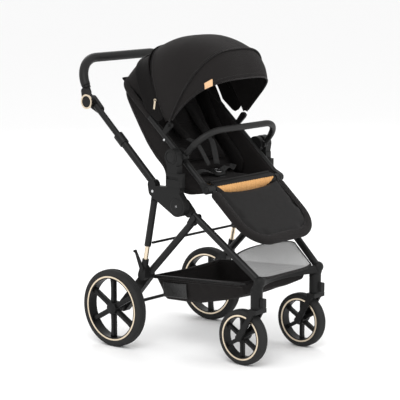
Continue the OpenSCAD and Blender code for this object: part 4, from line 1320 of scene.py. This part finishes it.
def build_wheel_fittings():
    """Rear hub caps and spoke faces, the spokes as rings of copies about each axle"""
    for axle, centre, bodies, hub_r, spoke_wide, off in (
            ("front", FRONT, "front_wheel", 0.017, 0.010168, 0.0085),
            ("rear", REAR, "rear_wheel", 0.022, 0.01302, 0.0095)):
        for side, sign in (("left", 1), ("right", -1)):
            low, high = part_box(f"{axle}_rim_{side}")
            face = outer_face(f"{axle}_rim_{side}", sign)
            dome = [(0.0, 0.0055), (hub_r * 0.45, 0.0050), (hub_r * 0.62, 0.0040), (hub_r * 0.66, 0.0025),
                    (hub_r * 0.92, 0.0020), (hub_r * 0.98, 0.0), (hub_r * 0.98, -0.004), (0.0, -0.004)]
            if axle == "rear":
                cap = lathe(f"rear_hub_cap_{side}", [(a, sign * b) for a, b in dome], face - sign * 0.001, centre, 48)
                wear(cap, "casting", f"{bodies}_{side}")
            ring_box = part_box(f"{axle}_trim_{side}")
            rim_r = (ring_box[1].z - ring_box[0].z) / 2 - 0.0098
            span = np.linspace(hub_r * 0.8, rim_r - 0.0015, len(SPOKE_TAPER))
            middle = [(sign * 0.0006, 0.0, s) for s in span]
            spoke = sweep("spoke_face", middle, soft_rect(0.006, spoke_wide, 4.0, 20), up=(1, 0, 0),
                          size=[(1.0, k) for k in SPOKE_TAPER])
            ring = turned(f"{axle}_spokes_{side}", spoke, 6, (low.x + high.x) / 2 + sign * off, centre, "rim")
            wear(ring, "rim", f"{bodies}_{side}")


def outer_face(node, sign):
    """Where a node's outer face lies across the stroller"""
    low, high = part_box(node)
    return high.x if sign > 0 else low.x


def screw(x, place, radius, sign):
    """A domed screw head"""
    dome = [(0.0012, 0.0016), (radius * 0.55, 0.0024), (radius * 0.86, 0.0020), (radius, 0.0008), (radius, -0.001),
            (0.0, -0.001)]
    return lathe("screw_head", [(0.0, 0.0016)] + [(a, sign * b) for a, b in dome], x, place, 24)


def build_screws():
    """Screw heads and knobs on the fold castings and the seat"""
    heads = []
    for side, sign in (("left", 1), ("right", -1)):
        face = outer_face(f"fold_casting_{side}", sign)
        for place, radius in ((FOLD, 0.0048), (joint_at("leg_fold"), 0.0052)):
            heads.append(screw(face, place, radius, sign))
    wear(join("upper_frame_screws", heads), "steel", "upper_frame")
    heads, rings = [], []
    for sign in (1, -1):
        tube = SEAT_X * sign + sign * 0.0095
        heads.append(screw(tube, KNEE, 0.0045, sign))
        heads.append(screw(tube + sign * 0.001, HOOD + np.array([0.020, -0.052]), 0.0045, sign))
        rings.append(lathe("knee_knob", [(0.0, sign * 0.004), (0.0095, sign * 0.0036), (0.0125, sign * 0.001),
                                         (0.0128, -sign * 0.003), (0.0, -sign * 0.003)], tube, KNEE, 40))
    wear(join("seat_screws", heads), "steel", "seat")
    wear(join("seat_knobs", rings), "casting", "seat")


def disc(name, outline, node, sign, place, steps):
    """A turned disc on the outer face of a node; outline is (radius, height)"""
    return lathe(name, [(r, sign * height) for r, height in outline], outer_face(node, sign), place, steps)


def build_casting_details():
    """Parting rings and caps on the fold castings and seat adapters"""
    fold_disc = [(0.0, 0.0022), (0.022, 0.0022), (0.0275, 0.0014), (0.0285, 0.0), (0.0285, -0.001), (0.0, -0.001)]
    hub_disc = [(0.0, 0.0026), (0.012, 0.0024), (0.0185, 0.001), (0.0190, 0.0), (0.0190, -0.001), (0.0, -0.001)]
    hub_ring = [(0.0215, 0.0012), (0.0235, 0.0018), (0.0255, 0.0012), (0.0255, -0.001), (0.0215, -0.001),
                (0.0215, 0.0012)]
    sides = (("left", 1), ("right", -1))
    parts = [disc("fold_disc", fold_disc, f"fold_casting_{side}", sign, FOLD, 56) for side, sign in sides]
    wear(join("fold_discs", parts), "casting", "upper_frame")
    parts = [disc(name, outline, f"seat_adapter_{side}", sign, HUB, 48) for side, sign in sides
             for name, outline in (("adapter_disc", hub_disc), ("adapter_ring", hub_ring))]
    wear(join("adapter_discs", parts), "button", "upper_frame")


def dress_cad_nodes():
    """Gives each CAD node that stays in view its finish"""
    for entry in frame["record"]["subparts"]:
        node = frame["nodes"][entry["node"]]
        node.data.materials.clear()
        node.data.materials.append(FINISHES[entry["material_slot"]])


# ---- stage ----

def build_stage(sizes):
    """Pale floor and backdrop, soft lights and the camera"""
    origin = np.array([0.0, REAR[0], 0.0])
    eye = origin + np.array([-4.3905, -3.9182, 1.4862])
    target = origin + np.array([-0.0952, -0.2567, 0.5375])
    lens = bpy.data.cameras.new("camera")
    lens.lens, lens.sensor_width = 146.0, 36.0
    lens.clip_start, lens.clip_end = 0.1, 60.0
    camera = placed("camera", lens)
    camera.location = eye
    camera.rotation_mode = "QUATERNION"
    camera.rotation_quaternion = Vector(target - eye).to_track_quat("-Z", "Y")
    bpy.context.scene.camera = camera
    mesh = bpy.data.meshes.new("floor")
    mesh.from_pydata([(-40, -40, 0), (40, -40, 0), (40, 40, 0), (-40, 40, 0)], [], [(0, 1, 2, 3)])
    floor = placed("floor", mesh)
    f = Finish("pale_floor")
    f.set(Base_Color=(0.95, 0.95, 0.95, 1.0), Roughness=0.9)
    f.set(Specular_IOR_Level=0.1)
    mesh.materials.append(f.material)
    world = bpy.data.worlds.new("soft_studio")
    world.use_nodes = True
    ground = world.node_tree.nodes["Background"]
    ground.inputs["Color"].default_value = (1.0, 1.0, 1.0, 1.0)
    ground.inputs["Strength"].default_value = sizes.sky_strength
    bpy.context.scene.world = world
    for name, place, size, power in (("key_light", (-3.2, -2.2, 4.2), 3.0, 120.0),
                                     ("front_light", (1.6, -4.4, 2.4), 2.6, 40.0),
                                     ("rim_light", (2.4, 3.4, 3.4), 2.4, 60.0)):
        light = bpy.data.lights.new(name, "AREA")
        light.size, light.energy = size, power
        lamp = placed(name, light)
        lamp.location = place
        lamp.rotation_mode = "QUATERNION"
        lamp.rotation_quaternion = (Vector((0, 0, 0.6)) - Vector(place)).to_track_quat("-Z", "Y")
    bpy.context.scene.view_settings.view_transform = "Standard"


# ---- add-on ----

class StrollerSizes(bpy.types.PropertyGroup):
    """Sizes and colours of the soft parts"""
    fabric_colour: bpy.props.FloatVectorProperty(name="Fabric colour", description="Colour of canopy and seat cloth",
                                                 default=(0.0125, 0.0112, 0.0110), subtype="COLOR", min=0.0, max=1.0)
    quilt_colour: bpy.props.FloatVectorProperty(name="Quilt colour", description="Colour of the quilted seat front",
                                                default=(0.60, 0.32, 0.12), subtype="COLOR", min=0.0, max=1.0)
    tag_colour: bpy.props.FloatVectorProperty(name="Tag colour", description="Colour of the blank leather tag",
                                              default=(0.70, 0.44, 0.25), subtype="COLOR", min=0.0, max=1.0)
    trim_colour: bpy.props.FloatVectorProperty(name="Trim colour", description="Colour of rings and struts",
                                               default=(0.80, 0.68, 0.52), subtype="COLOR", min=0.0, max=1.0)
    frame_level: bpy.props.FloatProperty(name="Frame grey", description="Grey level of the coated tubes",
                                         default=0.0095, min=0.0, max=1.0)
    quilt_pitch: bpy.props.FloatProperty(name="Quilt spacing", description="Distance between the quilt's seams",
                                         default=0.0132, unit="LENGTH", min=0.004, max=0.05)
    groove_depth: bpy.props.FloatProperty(name="Tyre groove depth", description="Depth of the grooves round a tyre",
                                          default=0.0014, unit="LENGTH", min=0.0, max=0.004)
    sky_strength: bpy.props.FloatProperty(name="Sky strength", description="Strength of the white surroundings",
                                          default=1.0, min=0.0, max=5.0)


class STROLLER_OT_stage(bpy.types.Operator):
    """Floor, surroundings, lights and camera"""
    bl_idname = "stroller.stage"
    bl_label = "Stage"

    def execute(self, context):
        build_stage(context.scene.stroller)
        return {"FINISHED"}


class STROLLER_OT_cad_finishes(bpy.types.Operator):
    """Gives every hard part its finish"""
    bl_idname = "stroller.cad_finishes"
    bl_label = "Finishes of hard parts"

    def execute(self, context):
        dress_cad_nodes()
        return {"FINISHED"}


class STROLLER_OT_canopy(bpy.types.Operator):
    """Canopy panels, gusset, visor, pipings, tag and zip"""
    bl_idname = "stroller.canopy"
    bl_label = "Canopy"

    def execute(self, context):
        build_canopy()
        return {"FINISHED"}


class STROLLER_OT_seat_shell(bpy.types.Operator):
    """Fabric shell of the seat with piped edges"""
    bl_idname = "stroller.seat_shell"
    bl_label = "Seat shell"

    def execute(self, context):
        build_seat_shell()
        return {"FINISHED"}


class STROLLER_OT_seat_pads(bpy.types.Operator):
    """Padded liner of the seat"""
    bl_idname = "stroller.seat_pads"
    bl_label = "Seat pads"

    def execute(self, context):
        build_seat_pads()
        return {"FINISHED"}


class STROLLER_OT_seat_quilt(bpy.types.Operator):
    """Quilted front edge of the seat"""
    bl_idname = "stroller.seat_quilt"
    bl_label = "Quilted seat front"

    def execute(self, context):
        build_quilt(context.scene.stroller)
        return {"FINISHED"}


class STROLLER_OT_harness(bpy.types.Operator):
    """Straps, shoulder pads and buckle"""
    bl_idname = "stroller.harness"
    bl_label = "Harness"

    def execute(self, context):
        build_harness()
        return {"FINISHED"}


class STROLLER_OT_legrest(bpy.types.Operator):
    """Padded legrest with its rim and seams"""
    bl_idname = "stroller.legrest"
    bl_label = "Legrest"

    def execute(self, context):
        build_legrest()
        return {"FINISHED"}


class STROLLER_OT_bumper(bpy.types.Operator):
    """Bumper bar sleeve, ends and stitches"""
    bl_idname = "stroller.bumper"
    bl_label = "Bumper bar"

    def execute(self, context):
        build_bumper()
        return {"FINISHED"}


class STROLLER_OT_handle_grip(bpy.types.Operator):
    """Handle grip sleeve, collars and stitches"""
    bl_idname = "stroller.handle_grip"
    bl_label = "Handle grip"

    def execute(self, context):
        build_grip()
        return {"FINISHED"}


class STROLLER_OT_basket(bpy.types.Operator):
    """Fabric basket with hems and patch"""
    bl_idname = "stroller.basket"
    bl_label = "Basket"

    def execute(self, context):
        build_basket()
        return {"FINISHED"}


class STROLLER_OT_footwell_net(bpy.types.Operator):
    """Net panel between the front legs"""
    bl_idname = "stroller.footwell_net"
    bl_label = "Footwell net"

    def execute(self, context):
        build_mesh_panel()
        return {"FINISHED"}


class STROLLER_OT_tyres(bpy.types.Operator):
    """Tyres with grooves"""
    bl_idname = "stroller.tyres"
    bl_label = "Tyres"

    def execute(self, context):
        build_tyres(context.scene.stroller)
        return {"FINISHED"}


class STROLLER_OT_wheel_fittings(bpy.types.Operator):
    """Spoke faces and hub caps"""
    bl_idname = "stroller.wheel_fittings"
    bl_label = "Wheel fittings"

    def execute(self, context):
        build_wheel_fittings()
        return {"FINISHED"}


class STROLLER_OT_fittings(bpy.types.Operator):
    """Screws, knobs, discs and rings"""
    bl_idname = "stroller.fittings"
    bl_label = "Fittings"

    def execute(self, context):
        build_screws()
        build_casting_details()
        return {"FINISHED"}


OPERATORS = (
    STROLLER_OT_stage, STROLLER_OT_cad_finishes, STROLLER_OT_canopy, STROLLER_OT_seat_shell, STROLLER_OT_seat_pads,
    STROLLER_OT_seat_quilt, STROLLER_OT_harness, STROLLER_OT_legrest, STROLLER_OT_bumper, STROLLER_OT_handle_grip,
    STROLLER_OT_basket, STROLLER_OT_footwell_net, STROLLER_OT_tyres, STROLLER_OT_wheel_fittings,
    STROLLER_OT_fittings)


class STROLLER_PT_panel(bpy.types.Panel):
    """Lists the pieces of the stroller and its sizes"""
    bl_idname = "STROLLER_PT_panel"
    bl_label = "Stroller"
    bl_space_type = "VIEW_3D"
    bl_region_type = "UI"
    bl_category = "Stroller"

    def draw(self, context):
        for name in StrollerSizes.__annotations__:
            self.layout.prop(context.scene.stroller, name)
        for piece in OPERATORS:
            self.layout.operator(piece.bl_idname)


def register():
    for item in (StrollerSizes, *OPERATORS, STROLLER_PT_panel):
        bpy.utils.register_class(item)
    bpy.types.Scene.stroller = bpy.props.PointerProperty(type=StrollerSizes)


def unregister():
    del bpy.types.Scene.stroller
    for item in (STROLLER_PT_panel, *reversed(OPERATORS), StrollerSizes):
        bpy.utils.unregister_class(item)


def main():
    register()
    make_finishes(bpy.context.scene.stroller)
    for piece in OPERATORS:
        group, name = piece.bl_idname.split(".")
        getattr(getattr(bpy.ops, group), name)()


if __name__ == "__main__":
    main()
